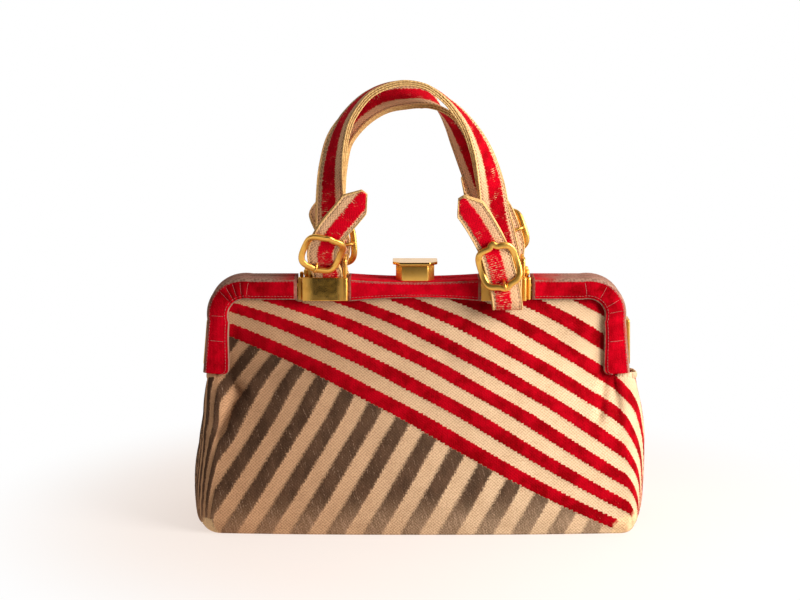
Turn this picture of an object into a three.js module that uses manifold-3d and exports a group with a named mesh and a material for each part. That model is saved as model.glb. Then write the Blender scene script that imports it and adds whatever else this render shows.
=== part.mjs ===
// A velvet handbag: a soft body hung from a cloth-covered metal frame, with two strap handles that fold
// round pins and close with buckles, and a flip clasp on top.
// Millimetres, +Z up, the front faces -Y, and the origin is the middle of the base.
import * as THREE from 'three';
import { mergeVertices } from 'three/addons/utils/BufferGeometryUtils.js';
import Module from 'manifold-3d';

const wasm = await Module();
wasm.setup();

// Frame: an upturned U seen from the front, made of a front and a back half
const FRAME_TOP = 158.8;
const LEG_FOOT_X = 141;
const LEG_FOOT_Z = 97.5;
const LEG_FLARE = THREE.MathUtils.degToRad(5.5);
const CORNER_RADIUS = 29;
const LEG_BAND = 16;
const TOP_BAND = 12.6;
const CORNER_BAND_LOSS = 2.5;
const COVER_FRONT = 12.5;
const COVER_WALL = 2;
const CHANNEL_WALL = 1.2;
const MID_GAP = 0.5;
const COVER_ROUND = 3.2;
const COVER_BEVEL = 1;
const CHANNEL_BEVEL = 1.5;
const FIT = 0.3;
const TUCKS = 6;
const TUCK_HEIGHT = 0.7;

// Body: cloth walls and a flat base
const CLOTH = 1.8;
const CLOTH_TUCK = 6;
const SEAM_GAP = 0.2;
const BODY_SHIFT = 3;
const FACE_POWER = 2.4;
const PINCH_DEPTH = 9;
const PINCH_LOW = 30;
const PINCH_HIGH = 96;
const TUCK_LOW = 55;
const TUCK_HIGH = 94;
const SHIFT_LOW = 70;
const CORNER_PULL = 0.55;
const SEAM_PULL = 0.6;
const BASE_WALL = 2.4;
const BASE_INSET = 1.5;
const FACE_COLUMNS = 18;
const WING_COLUMNS = 5;

// Handles: two-layer straps
const STRAP_WIDTH = 19.6;
const STRAP_WALL = 4;
const STRAP_EDGE = 1;
const TIP_LENGTH = 10;
const TIP_SHARE = 0.22;
const STRAP_STEP = 8;
const FOLD_STEPS = 4;

// Brackets, pins and buckles
const BRACKET_X = 58.5;
const PIN_Y = 6.4;
const PIN_Z = 163.5;
const PIN_RADIUS = 1.5;
const PIN_SIDES = 9;
const KNOB = { radius: 3, length: 4, neck: 2.4, bevel: 0.8, round: 1 };
const PLATE = { halfWidth: 14.8, low: 145.8, high: 161.2, front: 14, wall: 1.4 };
const SPACER = { halfWidth: 12, rise: 1.2 };
const SADDLE = { outer: 19.5, inner: 14.5, back: 1, wall: 0.8, rise: 0.4 };
const EAR = { inside: 10.3, wall: 2.4, top: 174, front: 9.7, back: 2.4, round: 3.4 };
const RING = { halfWidth: 12.1, halfHeight: 12.8, bump: 2.6, bumpWidth: 2.6, wide: 1.65, deep: 1.25 };
const RING_STEPS = 24;
const RING_FRONT = 1.9;
const WIRE_SIDES = 6;
const BAR_RADIUS = 1.1;
const PRONG_RADIUS = 0.9;
const PRONG = { rise: 0.7, out: 2.6, lift: 0.5, past: 0.6, tip: 3.6 };
const SLOT = { near: 0.6, far: 7.2, half: 1.4 };

// Clasp
const CLASP_X = -1;
const CLASP_HALF_WIDTH = 11.8;
const CLASP_FRONT = 11.2;
const CLASP_BACK = 6.2;
const CLASP_TOP = 168.6;
const CLASP_CHAMFER = 4.2;
const LEVER = { halfWidth: 14.7, front: 12.6, back: 6.6, wall: 1.4, neckWall: 0.9, chamfer: 5 };
const HINGE = { y: 8.6, z: 168.3, radius: 1.6, half: 8, knuckle: 3.1, gap: 0.4, sink: 1 };

// Side hinge plates on the legs
const SIDE_PLATE = { middle: 117, length: 29.8, halfDepth: 7.5, wall: 1.6 };

// Body sections from the base up to the feet of the legs. halfWidth is the side seam, cornerX and
// cornerDepth the rounded front corner, halfDepth the middle of the front.
const BODY_SECTIONS = [
  { z: 0.9, halfWidth: 143.2, cornerX: 128.0, halfDepth: 51.0, cornerDepth: 48.0 },
  { z: 4.0, halfWidth: 147.8, cornerX: 131.5, halfDepth: 55.2, cornerDepth: 52.2 },
  { z: 10.0, halfWidth: 149.8, cornerX: 133.5, halfDepth: 57.6, cornerDepth: 54.0 },
  { z: 25.0, halfWidth: 150.2, cornerX: 133.5, halfDepth: 57.0, cornerDepth: 51.0 },
  { z: 50.0, halfWidth: 147.8, cornerX: 132.0, halfDepth: 50.5, cornerDepth: 40.5 },
  { z: 76.0, halfWidth: 144.3, cornerX: 131.0, halfDepth: 41.0, cornerDepth: 24.5 },
  { z: 95.4, halfWidth: 142.0, cornerX: 131.0, halfDepth: 31.5, cornerDepth: 8.7 },
];
const BODY_ROWS = [0.9, 4, 10, 18, 28, 40, 52, 64, 76, 87, 95.4];

// How far the middle of the front stands out above the feet of the legs
const UPPER_DEPTHS = [
  { z: 95.4, depth: 31.5 },
  { z: 115, depth: 23.0 },
  { z: 130, depth: 16.0 },
  { z: 140, depth: 10.8 },
  { z: 144.5, depth: 8.7 },
  { z: 160, depth: 8.7 },
];

// Valleys pressed into the front, each a straight line with a soft cross-section
const FRONT_DENTS = [
  { x0: -121, z0: 92, x1: -133, z1: 50, width: 9, depth: 5.5 },
  { x0: 119, z0: 94, x1: 126, z1: 68, width: 8, depth: 3.5 },
  { x0: -62, z0: 138, x1: 18, z1: 110, width: 10, depth: 2.4 },
  { x0: 32, z0: 136, x1: 92, z1: 116, width: 10, depth: 2.2 },
];
const BACK_DENTS = [
  { x0: 121, z0: 92, x1: 132, z1: 54, width: 9, depth: 4.5 },
  { x0: -50, z0: 136, x1: 40, z1: 112, width: 11, depth: 2.0 },
];

// Straps, from the tip of the left tail to the tip of the right one. The arch rows carry the roll of the
// strap: 0 lies flat against the bag's face and 90 shows its edge to the front.
const HANDLES = {
  front: {
    side: -1,
    leftTail: [
      { x: -33.5, y: -28.5, z: 220.5 },
      { x: -43.5, y: -22.5, z: 207.5 },
      { x: -54.4, y: -14.8, z: 190.4 },
      { x: -57.2, y: -16.5, z: 178.4 },
      { x: -59.4, y: -13.4, z: 167.2 },
    ],
    arch: [
      { x: -57.8, y: -4.2, z: 177.0, roll: 0 },
      { x: -56.2, y: -6.0, z: 192.0, roll: 4 },
      { x: -55.6, y: -7.5, z: 211.3, roll: 20 },
      { x: -53.8, y: -9.0, z: 231.2, roll: 38 },
      { x: -49.1, y: -10.8, z: 250.8, roll: 55 },
      { x: -41.9, y: -12.0, z: 265.1, roll: 68 },
      { x: -28.9, y: -12.0, z: 278.6, roll: 80 },
      { x: -10.9, y: -12.0, z: 285.0, roll: 86 },
      { x: 5.2, y: -12.0, z: 281.4, roll: 84 },
      { x: 18.7, y: -12.0, z: 271.4, roll: 76 },
      { x: 30.4, y: -11.5, z: 257.8, roll: 62 },
      { x: 39.6, y: -10.5, z: 241.1, roll: 45 },
      { x: 46.8, y: -9.0, z: 221.4, roll: 26 },
      { x: 52.6, y: -7.5, z: 201.6, roll: 10 },
      { x: 56.8, y: -5.5, z: 186.0, roll: 2 },
      { x: 58.4, y: -3.6, z: 174.0, roll: 0 },
    ],
    rightTail: [
      { x: 58.5, y: -10.9, z: 162.4 },
      { x: 58.6, y: -13.8, z: 165.4 },
      { x: 59.0, y: -16.9, z: 161.0 },
      { x: 59.6, y: -17.3, z: 154.5 },
      { x: 60.8, y: -16.9, z: 147.6 },
      { x: 61.6, y: -19.6, z: 144.3 },
      { x: 60.9, y: -22.4, z: 147.6 },
      { x: 57.4, y: -22.6, z: 158.6 },
      { x: 53.2, y: -26.0, z: 171.0 },
      { x: 48.3, y: -24.4, z: 183.4 },
      { x: 38.0, y: -29.5, z: 201.6 },
      { x: 27.5, y: -35.0, z: 216.4 },
    ],
    rightFoldTurn: 110,
    buckles: [{ name: 'left', row: 3 }, { name: 'right', row: 8 }],
  },
  back: {
    side: 1,
    leftTail: [
      { x: -72.5, y: 27.5, z: 211.5 },
      { x: -65.0, y: 21.5, z: 202.5 },
      { x: -58.2, y: 14.4, z: 191.4 },
      { x: -57.2, y: 16.5, z: 178.6 },
      { x: -57.2, y: 13.5, z: 167.4 },
    ],
    arch: [
      { x: -58.0, y: 4.2, z: 177.0, roll: 0 },
      { x: -57.2, y: 6.0, z: 193.0, roll: 4 },
      { x: -56.6, y: 7.5, z: 212.0, roll: 16 },
      { x: -55.0, y: 9.0, z: 231.0, roll: 30 },
      { x: -50.0, y: 10.0, z: 249.4, roll: 43 },
      { x: -37.6, y: 10.0, z: 262.8, roll: 52 },
      { x: -22.6, y: 10.0, z: 271.2, roll: 61 },
      { x: -8.0, y: 10.0, z: 273.6, roll: 70 },
      { x: 5.4, y: 10.0, z: 271.0, roll: 82 },
      { x: 14.6, y: 10.0, z: 265.0, roll: 97 },
      { x: 22.6, y: 10.0, z: 256.0, roll: 113 },
      { x: 29.8, y: 9.8, z: 244.0, roll: 128 },
      { x: 37.0, y: 9.2, z: 230.0, roll: 144 },
      { x: 43.2, y: 8.0, z: 215.6, roll: 158 },
      { x: 50.4, y: 6.4, z: 198.6, roll: 172 },
      { x: 56.6, y: 4.8, z: 183.0, roll: 179 },
      { x: 58.3, y: 3.6, z: 173.0, roll: 180 },
    ],
    rightTail: [
      { x: 60.0, y: 13.2, z: 168.4 },
      { x: 62.6, y: 14.8, z: 178.0 },
      { x: 60.2, y: 17.8, z: 190.0 },
      { x: 57.0, y: 16.0, z: 201.8 },
      { x: 46.0, y: 21.0, z: 213.6 },
      { x: 31.5, y: 27.0, z: 223.5 },
    ],
    rightFoldTurn: 180,
    buckles: [{ name: 'left', row: 3 }, { name: 'right', row: 2 }],
  },
};

const MATERIALS = {
  stripedVelvet: new THREE.MeshStandardMaterial({ color: 0xa8684a, roughness: 0.9 }),
  redVelvet: new THREE.MeshStandardMaterial({ color: 0xb0101f, roughness: 0.85 }),
  baseCloth: new THREE.MeshStandardMaterial({ color: 0x8a6b50, roughness: 0.95 }),
  strap: new THREE.MeshStandardMaterial({ color: 0xb4222a, roughness: 0.85 }),
  brass: new THREE.MeshStandardMaterial({ color: 0xd9ad4e, roughness: 0.25, metalness: 1 }),
};

const part = new THREE.Group();

function addPiece(name, geometry, material) {
  const mesh = new THREE.Mesh(geometry, material);
  mesh.name = name;
  part.add(mesh);
  return mesh;
}

// Helpers for closed meshes

function signedVolume(points, triangles) {
  const cross = new THREE.Vector3();
  let volume = 0;
  for (const [a, b, c] of triangles) {
    volume += cross.crossVectors(points[a], points[b]).dot(points[c]) / 6;
  }
  return volume;
}

function closedGeometry(points, triangles) {
  const outward = signedVolume(points, triangles) > 0;
  const faces = outward ? triangles : triangles.map(([a, b, c]) => [a, c, b]);
  const geometry = new THREE.BufferGeometry();
  geometry.setFromPoints(points);
  geometry.setIndex(faces.flat());
  return geometry;
}

// Joins rings of points into a tube. A closed loop has no ends; an open one is capped.
function sweepGeometry(rings, isLoop = false) {
  const count = rings[0].length;
  const points = rings.flat();
  const triangles = [];
  const spans = isLoop ? rings.length : rings.length - 1;
  for (let i = 0; i < spans; i += 1) {
    const low = i * count;
    const high = ((i + 1) % rings.length) * count;
    for (let j = 0; j < count; j += 1) {
      const next = (j + 1) % count;
      triangles.push([low + j, low + next, high + next], [low + j, high + next, high + j]);
    }
  }
  if (!isLoop) {
    const last = (rings.length - 1) * count;
    for (const [a, b, c] of capTriangles(rings[0])) {
      triangles.push([a, c, b]);
    }
    for (const [a, b, c] of capTriangles(rings[rings.length - 1])) {
      triangles.push([last + a, last + b, last + c]);
    }
  }
  return closedGeometry(points, triangles);
}

// Triangulates a flat ring in its own plane, with the ring's turning direction kept
function capTriangles(ring) {
  const normal = new THREE.Vector3();
  ring.forEach((point, i) => {
    normal.add(new THREE.Vector3().crossVectors(point, ring[(i + 1) % ring.length]));
  });
  normal.normalize();
  const along = ring[1].clone().sub(ring[0]).normalize();
  const across = new THREE.Vector3().crossVectors(normal, along);
  const flat = ring.map((point) => new THREE.Vector2(point.dot(along), point.dot(across)));
  return THREE.ShapeUtils.triangulateShape(flat, []);
}

// A cloth wall on a grid of outer points: the inner face lies one cloth thickness along the inward
// normals, and every open edge gets a rim. hasCell leaves cells of the grid out.
function shellGeometry(grid, wall, hasCell, keepInside) {
  const rows = grid.length;
  const columns = grid[0].length;
  const outer = grid.flat();
  const inner = grid.flatMap((line, r) => line.map((point, c) => {
    const inside = point.clone().addScaledVector(gridNormal(grid, r, c, hasCell), -wall);
    keepInside(inside);
    return inside;
  }));
  const points = [...outer, ...inner];
  const shift = outer.length;
  const triangles = [];
  const edges = new Map();
  for (let r = 0; r < rows - 1; r += 1) {
    for (let c = 0; c < columns - 1; c += 1) {
      if (!hasCell(r, c)) continue;
      const first = r * columns + c;
      const corners = [first, first + 1, first + columns + 1, first + columns];
      const [p, q, s, t] = corners;
      triangles.push([p, q, s], [p, s, t]);
      triangles.push([shift + p, shift + s, shift + q], [shift + p, shift + t, shift + s]);
      corners.forEach((from, i) => {
        const to = corners[(i + 1) % 4];
        const twin = `${to},${from}`;
        if (edges.has(twin)) edges.delete(twin);
        else edges.set(`${from},${to}`, [from, to]);
      });
    }
  }
  for (const [from, to] of edges.values()) {
    triangles.push([from, shift + from, shift + to], [from, shift + to, to]);
  }
  const used = [...new Set(triangles.flat())];
  const order = new Map(used.map((index, i) => [index, i]));
  const kept = triangles.map((triangle) => triangle.map((index) => order.get(index)));
  return closedGeometry(used.map((index) => points[index]), kept);
}

// The outward normal of a grid point, from the neighbours whose cells are used
function gridNormal(grid, row, column, hasCell) {
  const normal = new THREE.Vector3();
  for (const [dr, dc] of [[0, 0], [-1, 0], [0, -1], [-1, -1]]) {
    const r = row + dr;
    const c = column + dc;
    if (r < 0 || c < 0 || r >= grid.length - 1 || c >= grid[0].length - 1 || !hasCell(r, c)) continue;
    const across = grid[r][c + 1].clone().sub(grid[r][c]).add(grid[r + 1][c + 1]).sub(grid[r + 1][c]);
    const up = grid[r + 1][c].clone().sub(grid[r][c]).add(grid[r + 1][c + 1]).sub(grid[r][c + 1]);
    normal.add(across.cross(up).normalize());
  }
  return normal.normalize();
}

function toSolid(geometry) {
  const bare = geometry.clone();
  bare.deleteAttribute('normal');
  bare.deleteAttribute('uv');
  const merged = mergeVertices(bare, 1e-4);
  return new wasm.Manifold(new wasm.Mesh({
    numProp: 3,
    vertProperties: new Float32Array(merged.attributes.position.array),
    triVerts: new Uint32Array(merged.index.array),
  }));
}

function fromSolid(solid) {
  const mesh = solid.getMesh();
  const geometry = new THREE.BufferGeometry();
  geometry.setAttribute('position', new THREE.BufferAttribute(new Float32Array(mesh.vertProperties), 3));
  geometry.setIndex(new THREE.BufferAttribute(new Uint32Array(mesh.triVerts), 1));
  return geometry;
}

function join(...geometries) {
  return fromSolid(geometries.map(toSolid).reduce((whole, piece) => whole.add(piece)));
}

function cut(geometry, ...tools) {
  return fromSolid(tools.map(toSolid).reduce((whole, tool) => whole.subtract(tool), toSolid(geometry)));
}

function box(x0, x1, y0, y1, z0, z1) {
  const geometry = new THREE.BoxGeometry(Math.abs(x1 - x0), Math.abs(y1 - y0), z1 - z0);
  return geometry.translate((x0 + x1) / 2, (y0 + y1) / 2, (z0 + z1) / 2);
}

// Reads one column of a table with rows sorted by z, smoothly between the rows
function column(table, name, z) {
  const last = table.length - 1;
  if (z <= table[0].z) return table[0][name];
  if (z >= table[last].z) return table[last][name];
  const i = table.findIndex((row) => row.z > z) - 1;
  const slope = (k) => {
    const a = table[Math.max(k - 1, 0)];
    const b = table[Math.min(k + 1, last)];
    return (b[name] - a[name]) / (b.z - a.z);
  };
  const step = table[i + 1].z - table[i].z;
  const t = (z - table[i].z) / step;
  const start = table[i][name];
  const end = table[i + 1][name];
  const rise = slope(i) * step;
  const fall = slope(i + 1) * step;
  const cubic = 2 * (start - end) + rise + fall;
  const square = 3 * (end - start) - 2 * rise - fall;
  return start + t * (rise + t * (square + t * cubic));
}

// The frame's outer edge on the right, as a place, the outward direction and the band's width

const CORNER_Z = FRAME_TOP - CORNER_RADIUS;
const LEG_LENGTH = (CORNER_Z + CORNER_RADIUS * Math.sin(LEG_FLARE) - LEG_FOOT_Z) / Math.cos(LEG_FLARE);
const CORNER_X = LEG_FOOT_X - CORNER_RADIUS * Math.cos(LEG_FLARE) - LEG_LENGTH * Math.sin(LEG_FLARE);

function legStation(along) {
  return {
    x: LEG_FOOT_X - along * Math.sin(LEG_FLARE),
    z: LEG_FOOT_Z + along * Math.cos(LEG_FLARE),
    out: [Math.cos(LEG_FLARE), Math.sin(LEG_FLARE)],
    band: LEG_BAND,
    turn: 0,
  };
}

function cornerStation(turn) {
  const angle = LEG_FLARE + turn * (Math.PI / 2 - LEG_FLARE);
  const out = [Math.cos(angle), Math.sin(angle)];
  return {
    x: CORNER_X + CORNER_RADIUS * out[0],
    z: CORNER_Z + CORNER_RADIUS * out[1],
    out,
    band: THREE.MathUtils.lerp(LEG_BAND, TOP_BAND, turn) - CORNER_BAND_LOSS * Math.sin(Math.PI * turn),
    turn,
  };
}

function topStation(x) {
  return { x, z: FRAME_TOP, out: [0, 1], band: TOP_BAND, turn: 1 };
}

function cornerStations(steps) {
  return Array.from({ length: steps + 1 }, (_, i) => cornerStation(i / steps));
}

// A profile point lies inwards from the band's outer edge by its shift, or outwards from its inner edge
function bandPoint(station, mirrorX, mirrorY, { edge, shift, y }) {
  const depth = edge === 'inner' ? -station.band + shift : -shift;
  return new THREE.Vector3(
    mirrorX * (station.x + depth * station.out[0]),
    mirrorY * y,
    station.z + depth * station.out[1],
  );
}

const CHANNEL_FRONT = COVER_FRONT - COVER_WALL - FIT;
const CHANNEL_TOP = COVER_WALL + FIT;
const CHANNEL_BACK = MID_GAP + FIT;
const CLOTH_FRONT = CHANNEL_FRONT - CHANNEL_WALL - FIT;

const CHANNEL_PROFILE = [
  { edge: 'outer', shift: CHANNEL_TOP, y: CHANNEL_BACK },
  { edge: 'outer', shift: CHANNEL_TOP, y: CHANNEL_FRONT - CHANNEL_BEVEL },
  { edge: 'outer', shift: CHANNEL_TOP + CHANNEL_BEVEL, y: CHANNEL_FRONT },
  { edge: 'inner', shift: CHANNEL_TOP, y: CHANNEL_FRONT },
  { edge: 'inner', shift: CHANNEL_TOP, y: CHANNEL_FRONT - CHANNEL_WALL },
  { edge: 'outer', shift: CHANNEL_TOP + 2 * CHANNEL_WALL, y: CHANNEL_FRONT - CHANNEL_WALL },
  { edge: 'outer', shift: CHANNEL_TOP + CHANNEL_WALL, y: CHANNEL_FRONT - 2 * CHANNEL_WALL },
  { edge: 'outer', shift: CHANNEL_TOP + CHANNEL_WALL, y: CHANNEL_BACK + CHANNEL_WALL },
  { edge: 'inner', shift: CHANNEL_TOP, y: CHANNEL_BACK + CHANNEL_WALL },
  { edge: 'inner', shift: CHANNEL_TOP, y: CHANNEL_BACK },
];

const COVER_INNER = COVER_FRONT - COVER_WALL;
const COVER_LIP = CLOTH_FRONT + MID_GAP;

// The sleeve's section; tuck is how far the front of the sleeve stands proud
function coverProfile(tuck) {
  return [
    { edge: 'outer', shift: 0, y: MID_GAP },
    { edge: 'outer', shift: 0, y: COVER_FRONT - COVER_ROUND },
    { edge: 'outer', shift: COVER_BEVEL, y: COVER_FRONT - COVER_BEVEL },
    { edge: 'outer', shift: COVER_ROUND, y: COVER_FRONT + tuck },
    { edge: 'inner', shift: COVER_BEVEL, y: COVER_FRONT + tuck },
    { edge: 'inner', shift: 0, y: COVER_FRONT - COVER_BEVEL },
    { edge: 'inner', shift: 0, y: COVER_LIP },
    { edge: 'inner', shift: COVER_WALL, y: COVER_LIP },
    { edge: 'inner', shift: COVER_WALL, y: COVER_INNER },
    { edge: 'outer', shift: COVER_WALL + CHANNEL_BEVEL, y: COVER_INNER },
    { edge: 'outer', shift: COVER_WALL, y: COVER_INNER - CHANNEL_BEVEL },
    { edge: 'outer', shift: COVER_WALL, y: MID_GAP },
  ];
}

function channelGeometry(side) {
  const right = [legStation(0), ...cornerStations(7)];
  const rings = [
    ...right.map((station) => CHANNEL_PROFILE.map((point) => bandPoint(station, -1, side, point))),
    ...right.reverse().map((station) => CHANNEL_PROFILE.map((point) => bandPoint(station, 1, side, point))),
  ];
  return sweepGeometry(rings);
}

function sideCoverGeometry(mirrorX, side) {
  const steps = TUCKS * 2;
  const end = topStation(BRACKET_X + SADDLE.outer + MID_GAP);
  const stations = [legStation(0), ...cornerStations(steps), end];
  const rings = stations.map((station, i) => {
    const isTuck = station.turn > 0 && station.turn < 1 && i % 2 === 0;
    return coverProfile(isTuck ? TUCK_HEIGHT : 0).map((point) => bandPoint(station, mirrorX, side, point));
  });
  return sweepGeometry(rings);
}

function midCoverGeometry(side) {
  const end = BRACKET_X - SADDLE.inner - MID_GAP;
  const rings = [-end, end].map((x) => {
    const station = topStation(x);
    return coverProfile(0).map((point) => bandPoint(station, 1, side, point));
  });
  return sweepGeometry(rings);
}

// Body walls

function dentDepth(dents, x, z) {
  let depth = 0;
  for (const dent of dents) {
    const dx = dent.x1 - dent.x0;
    const dz = dent.z1 - dent.z0;
    const along = ((x - dent.x0) * dx + (z - dent.z0) * dz) / (dx * dx + dz * dz);
    const near = THREE.MathUtils.clamp(along, 0, 1);
    const away = Math.hypot(x - dent.x0 - near * dx, z - dent.z0 - near * dz) / dent.width;
    depth += dent.depth * Math.exp(-away * away);
  }
  return depth;
}

// Rows of the wall: the lower ones are body sections, the upper ones follow the frame's inner edge
function wallRows() {
  const lower = BODY_ROWS.map((z) => ({
    z,
    cornerX: column(BODY_SECTIONS, 'cornerX', z),
    cornerDepth: column(BODY_SECTIONS, 'cornerDepth', z),
    halfDepth: column(BODY_SECTIONS, 'halfDepth', z),
    halfWidth: column(BODY_SECTIONS, 'halfWidth', z),
    shift: BODY_SHIFT * (1 - THREE.MathUtils.smoothstep(z, SHIFT_LOW, PINCH_HIGH)),
  }));
  const legSteps = [0.36, 0.7].map((share) => legStation(share * LEG_LENGTH));
  const upper = [...legSteps, ...cornerStations(5)].map((station) => {
    const inset = station.band - CLOTH_TUCK;
    const z = station.z - inset * station.out[1];
    return {
      z,
      cornerX: station.x - inset * station.out[0],
      cornerDepth: CLOTH_FRONT,
      halfDepth: column(UPPER_DEPTHS, 'depth', z),
      halfWidth: 0,
      shift: 0,
    };
  });
  return [...lower, ...upper];
}

// The front face bulges between its corners and lies flat where it is tucked into the frame. Its
// outermost column on each side is the tucked edge.
function facePoint(row, index, dents) {
  const tucked = THREE.MathUtils.smoothstep(row.z, TUCK_LOW, TUCK_HIGH);
  const edge = 1 - (CLOTH_TUCK + 1) / row.cornerX;
  const isEdge = index <= 0 || index >= FACE_COLUMNS;
  const share = isEdge ? Math.sign(index - 1) : edge * (2 * (index - 1) / (FACE_COLUMNS - 2) - 1);
  const reach = THREE.MathUtils.lerp(1, edge, tucked);
  const bulge = 1 - Math.min(1, Math.abs(share) / reach) ** FACE_POWER;
  const x = row.cornerX * share;
  const depth = row.cornerDepth + (row.halfDepth - row.cornerDepth) * bulge;
  const inside = Math.min(1, bulge * 6);
  return { x, depth: depth - inside * dentDepth(dents, x, row.z) };
}

// The wing rounds the corner to the side seam, and folds inwards there near the top
function wingPoint(row, share, sideX, dents) {
  const tucked = THREE.MathUtils.smoothstep(row.z, TUCK_LOW, TUCK_HIGH);
  const slope = (1 - tucked) * FACE_POWER * (row.halfDepth - row.cornerDepth) / row.cornerX;
  const pinch = PINCH_DEPTH * THREE.MathUtils.smoothstep(row.z, PINCH_LOW, PINCH_HIGH);
  const width = row.halfWidth - row.cornerX;
  const reach = CORNER_PULL * width;
  const curve = new THREE.CubicBezierCurve(
    new THREE.Vector2(row.cornerX, row.cornerDepth),
    new THREE.Vector2(row.cornerX + reach, row.cornerDepth - slope * reach),
    new THREE.Vector2(row.halfWidth, SEAM_PULL * row.cornerDepth),
    new THREE.Vector2(row.halfWidth - pinch, SEAM_GAP),
  );
  const point = curve.getPoint(share);
  const dent = (1 - share) * dentDepth(dents, sideX * point.x, row.z);
  const dented = point.y - dent * Math.min(1, point.y / CLOTH_FRONT);
  return { x: sideX * point.x, depth: Math.max(SEAM_GAP, dented) };
}

const WALL_ROWS = wallRows();
const WALL_COLUMNS = FACE_COLUMNS + 2 * WING_COLUMNS;

function wallGrid(side, dents) {
  return WALL_ROWS.map((row) => Array.from({ length: WALL_COLUMNS + 1 }, (_, c) => {
    const face = c - WING_COLUMNS;
    let point;
    if (face < 0 && row.halfWidth > 0) point = wingPoint(row, -face / WING_COLUMNS, -1, dents);
    else if (face > FACE_COLUMNS && row.halfWidth > 0) {
      point = wingPoint(row, (face - FACE_COLUMNS) / WING_COLUMNS, 1, dents);
    } else {
      point = facePoint(row, face, dents);
    }
    return new THREE.Vector3(point.x + row.shift, side * point.depth, row.z);
  }));
}

function wallGeometry(side, dents) {
  const grid = wallGrid(side, dents);
  const lines = side < 0 ? grid : grid.map((line) => [...line].reverse());
  const hasCell = (r, c) => r < BODY_ROWS.length - 1
    || (c >= WING_COLUMNS && c < WING_COLUMNS + FACE_COLUMNS);
  const keepInside = (point) => {
    if (side * point.y < SEAM_GAP) point.y = side * SEAM_GAP;
  };
  return shellGeometry(lines, CLOTH, hasCell, keepInside);
}

// Moves every point of a closed outline inwards, square to the line between its neighbours
function insetOutline(outline, inset) {
  return outline.map((point, i) => {
    const before = outline[(i + outline.length - 1) % outline.length];
    const after = outline[(i + 1) % outline.length];
    const along = after.clone().sub(before).normalize();
    return new THREE.Vector2(point.x - inset * along.y, point.y + inset * along.x);
  });
}

function baseGeometry() {
  const front = wallGrid(-1, [])[0];
  const back = wallGrid(1, [])[0].reverse();
  const outline = [...front, ...back].map((point) => new THREE.Vector2(point.x, point.y));
  const shape = new THREE.Shape(insetOutline(outline, BASE_INSET));
  return new THREE.ExtrudeGeometry(shape, { depth: BASE_WALL, bevelEnabled: false });
}

// Straps

const X_AXIS = new THREE.Vector3(1, 0, 0);
const Y_AXIS = new THREE.Vector3(0, 1, 0);
const STRAP_PROFILE = [
  [STRAP_WIDTH / 2, STRAP_WALL / 2 - STRAP_EDGE],
  [STRAP_WIDTH / 2 - STRAP_EDGE, STRAP_WALL / 2],
  [-STRAP_WIDTH / 2 + STRAP_EDGE, STRAP_WALL / 2],
  [-STRAP_WIDTH / 2, STRAP_WALL / 2 - STRAP_EDGE],
  [-STRAP_WIDTH / 2, -STRAP_WALL / 2 + STRAP_EDGE],
  [-STRAP_WIDTH / 2 + STRAP_EDGE, -STRAP_WALL / 2],
  [STRAP_WIDTH / 2 - STRAP_EDGE, -STRAP_WALL / 2],
  [STRAP_WIDTH / 2, -STRAP_WALL / 2 + STRAP_EDGE],
];

// Points of a fold round a pin, from one side of the pin under it to the other
function pinFold(x, side, fromTurn, toTurn) {
  const radius = PIN_RADIUS + FIT + STRAP_WALL / 2;
  return Array.from({ length: FOLD_STEPS + 1 }, (_, i) => {
    const angle = THREE.MathUtils.degToRad(THREE.MathUtils.lerp(fromTurn, toTurn, i / FOLD_STEPS));
    return { x, y: side * (PIN_Y + radius * Math.cos(angle)), z: PIN_Z - radius * Math.sin(angle) };
  });
}

// The whole route of a strap with its roll, and the index where the arch starts and ends
function strapRoute(handle) {
  const { side, leftTail, arch, rightTail, rightFoldTurn } = handle;
  const leftFold = pinFold(-BRACKET_X, side, 0, 180);
  const rightFold = pinFold(BRACKET_X, side, 180, 180 - rightFoldTurn);
  const rows = [...leftTail, ...leftFold, ...arch, ...rightFold, ...rightTail];
  return {
    points: rows.map((row) => new THREE.Vector3(row.x, row.y, row.z)),
    rolls: rows.map((row) => row.roll ?? 0),
    archStart: leftTail.length + leftFold.length,
    archEnd: leftTail.length + leftFold.length + arch.length - 1,
    rightTailStart: leftTail.length + leftFold.length + arch.length + rightFold.length,
  };
}

// The strap's place and axes at a route position: along it, across it and out of its face
function strapStation(route, curve, position) {
  const last = route.points.length - 1;
  const share = position / last;
  const place = curve.getPoint(share);
  const along = curve.getTangent(share);
  const across = new THREE.Vector3();
  if (position > route.archStart && position < route.archEnd) {
    const i = Math.floor(position);
    const roll = THREE.MathUtils.degToRad(
      THREE.MathUtils.lerp(route.rolls[i], route.rolls[i + 1], position - i),
    );
    const inward = new THREE.Vector3().crossVectors(Y_AXIS, along).normalize();
    const forward = Y_AXIS.clone().negate();
    across.addScaledVector(inward, Math.cos(roll)).addScaledVector(forward, Math.sin(roll));
  } else {
    const atRight = position >= route.archEnd;
    const flips = atRight && route.rolls[route.archEnd] < 90;
    across.copy(X_AXIS).multiplyScalar(flips ? -1 : 1);
  }
  across.addScaledVector(along, -across.dot(along)).normalize();
  const out = new THREE.Vector3().crossVectors(across, along);
  return { place, along, across, out };
}

function strapPositions(route) {
  const positions = [0];
  const last = route.points.length - 1;
  for (let i = 0; i < last; i += 1) {
    const span = route.points[i].distanceTo(route.points[i + 1]);
    const steps = Math.max(1, Math.round(span / STRAP_STEP));
    for (let k = 1; k <= steps; k += 1) positions.push(i + k / steps);
  }
  return positions;
}

// Narrows the strap to a blunt point over the last stretch of each tail
function tipShare(distance) {
  const near = THREE.MathUtils.clamp(distance / TIP_LENGTH, 0, 1);
  return TIP_SHARE + (1 - TIP_SHARE) * Math.sin(near * Math.PI / 2);
}

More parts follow.
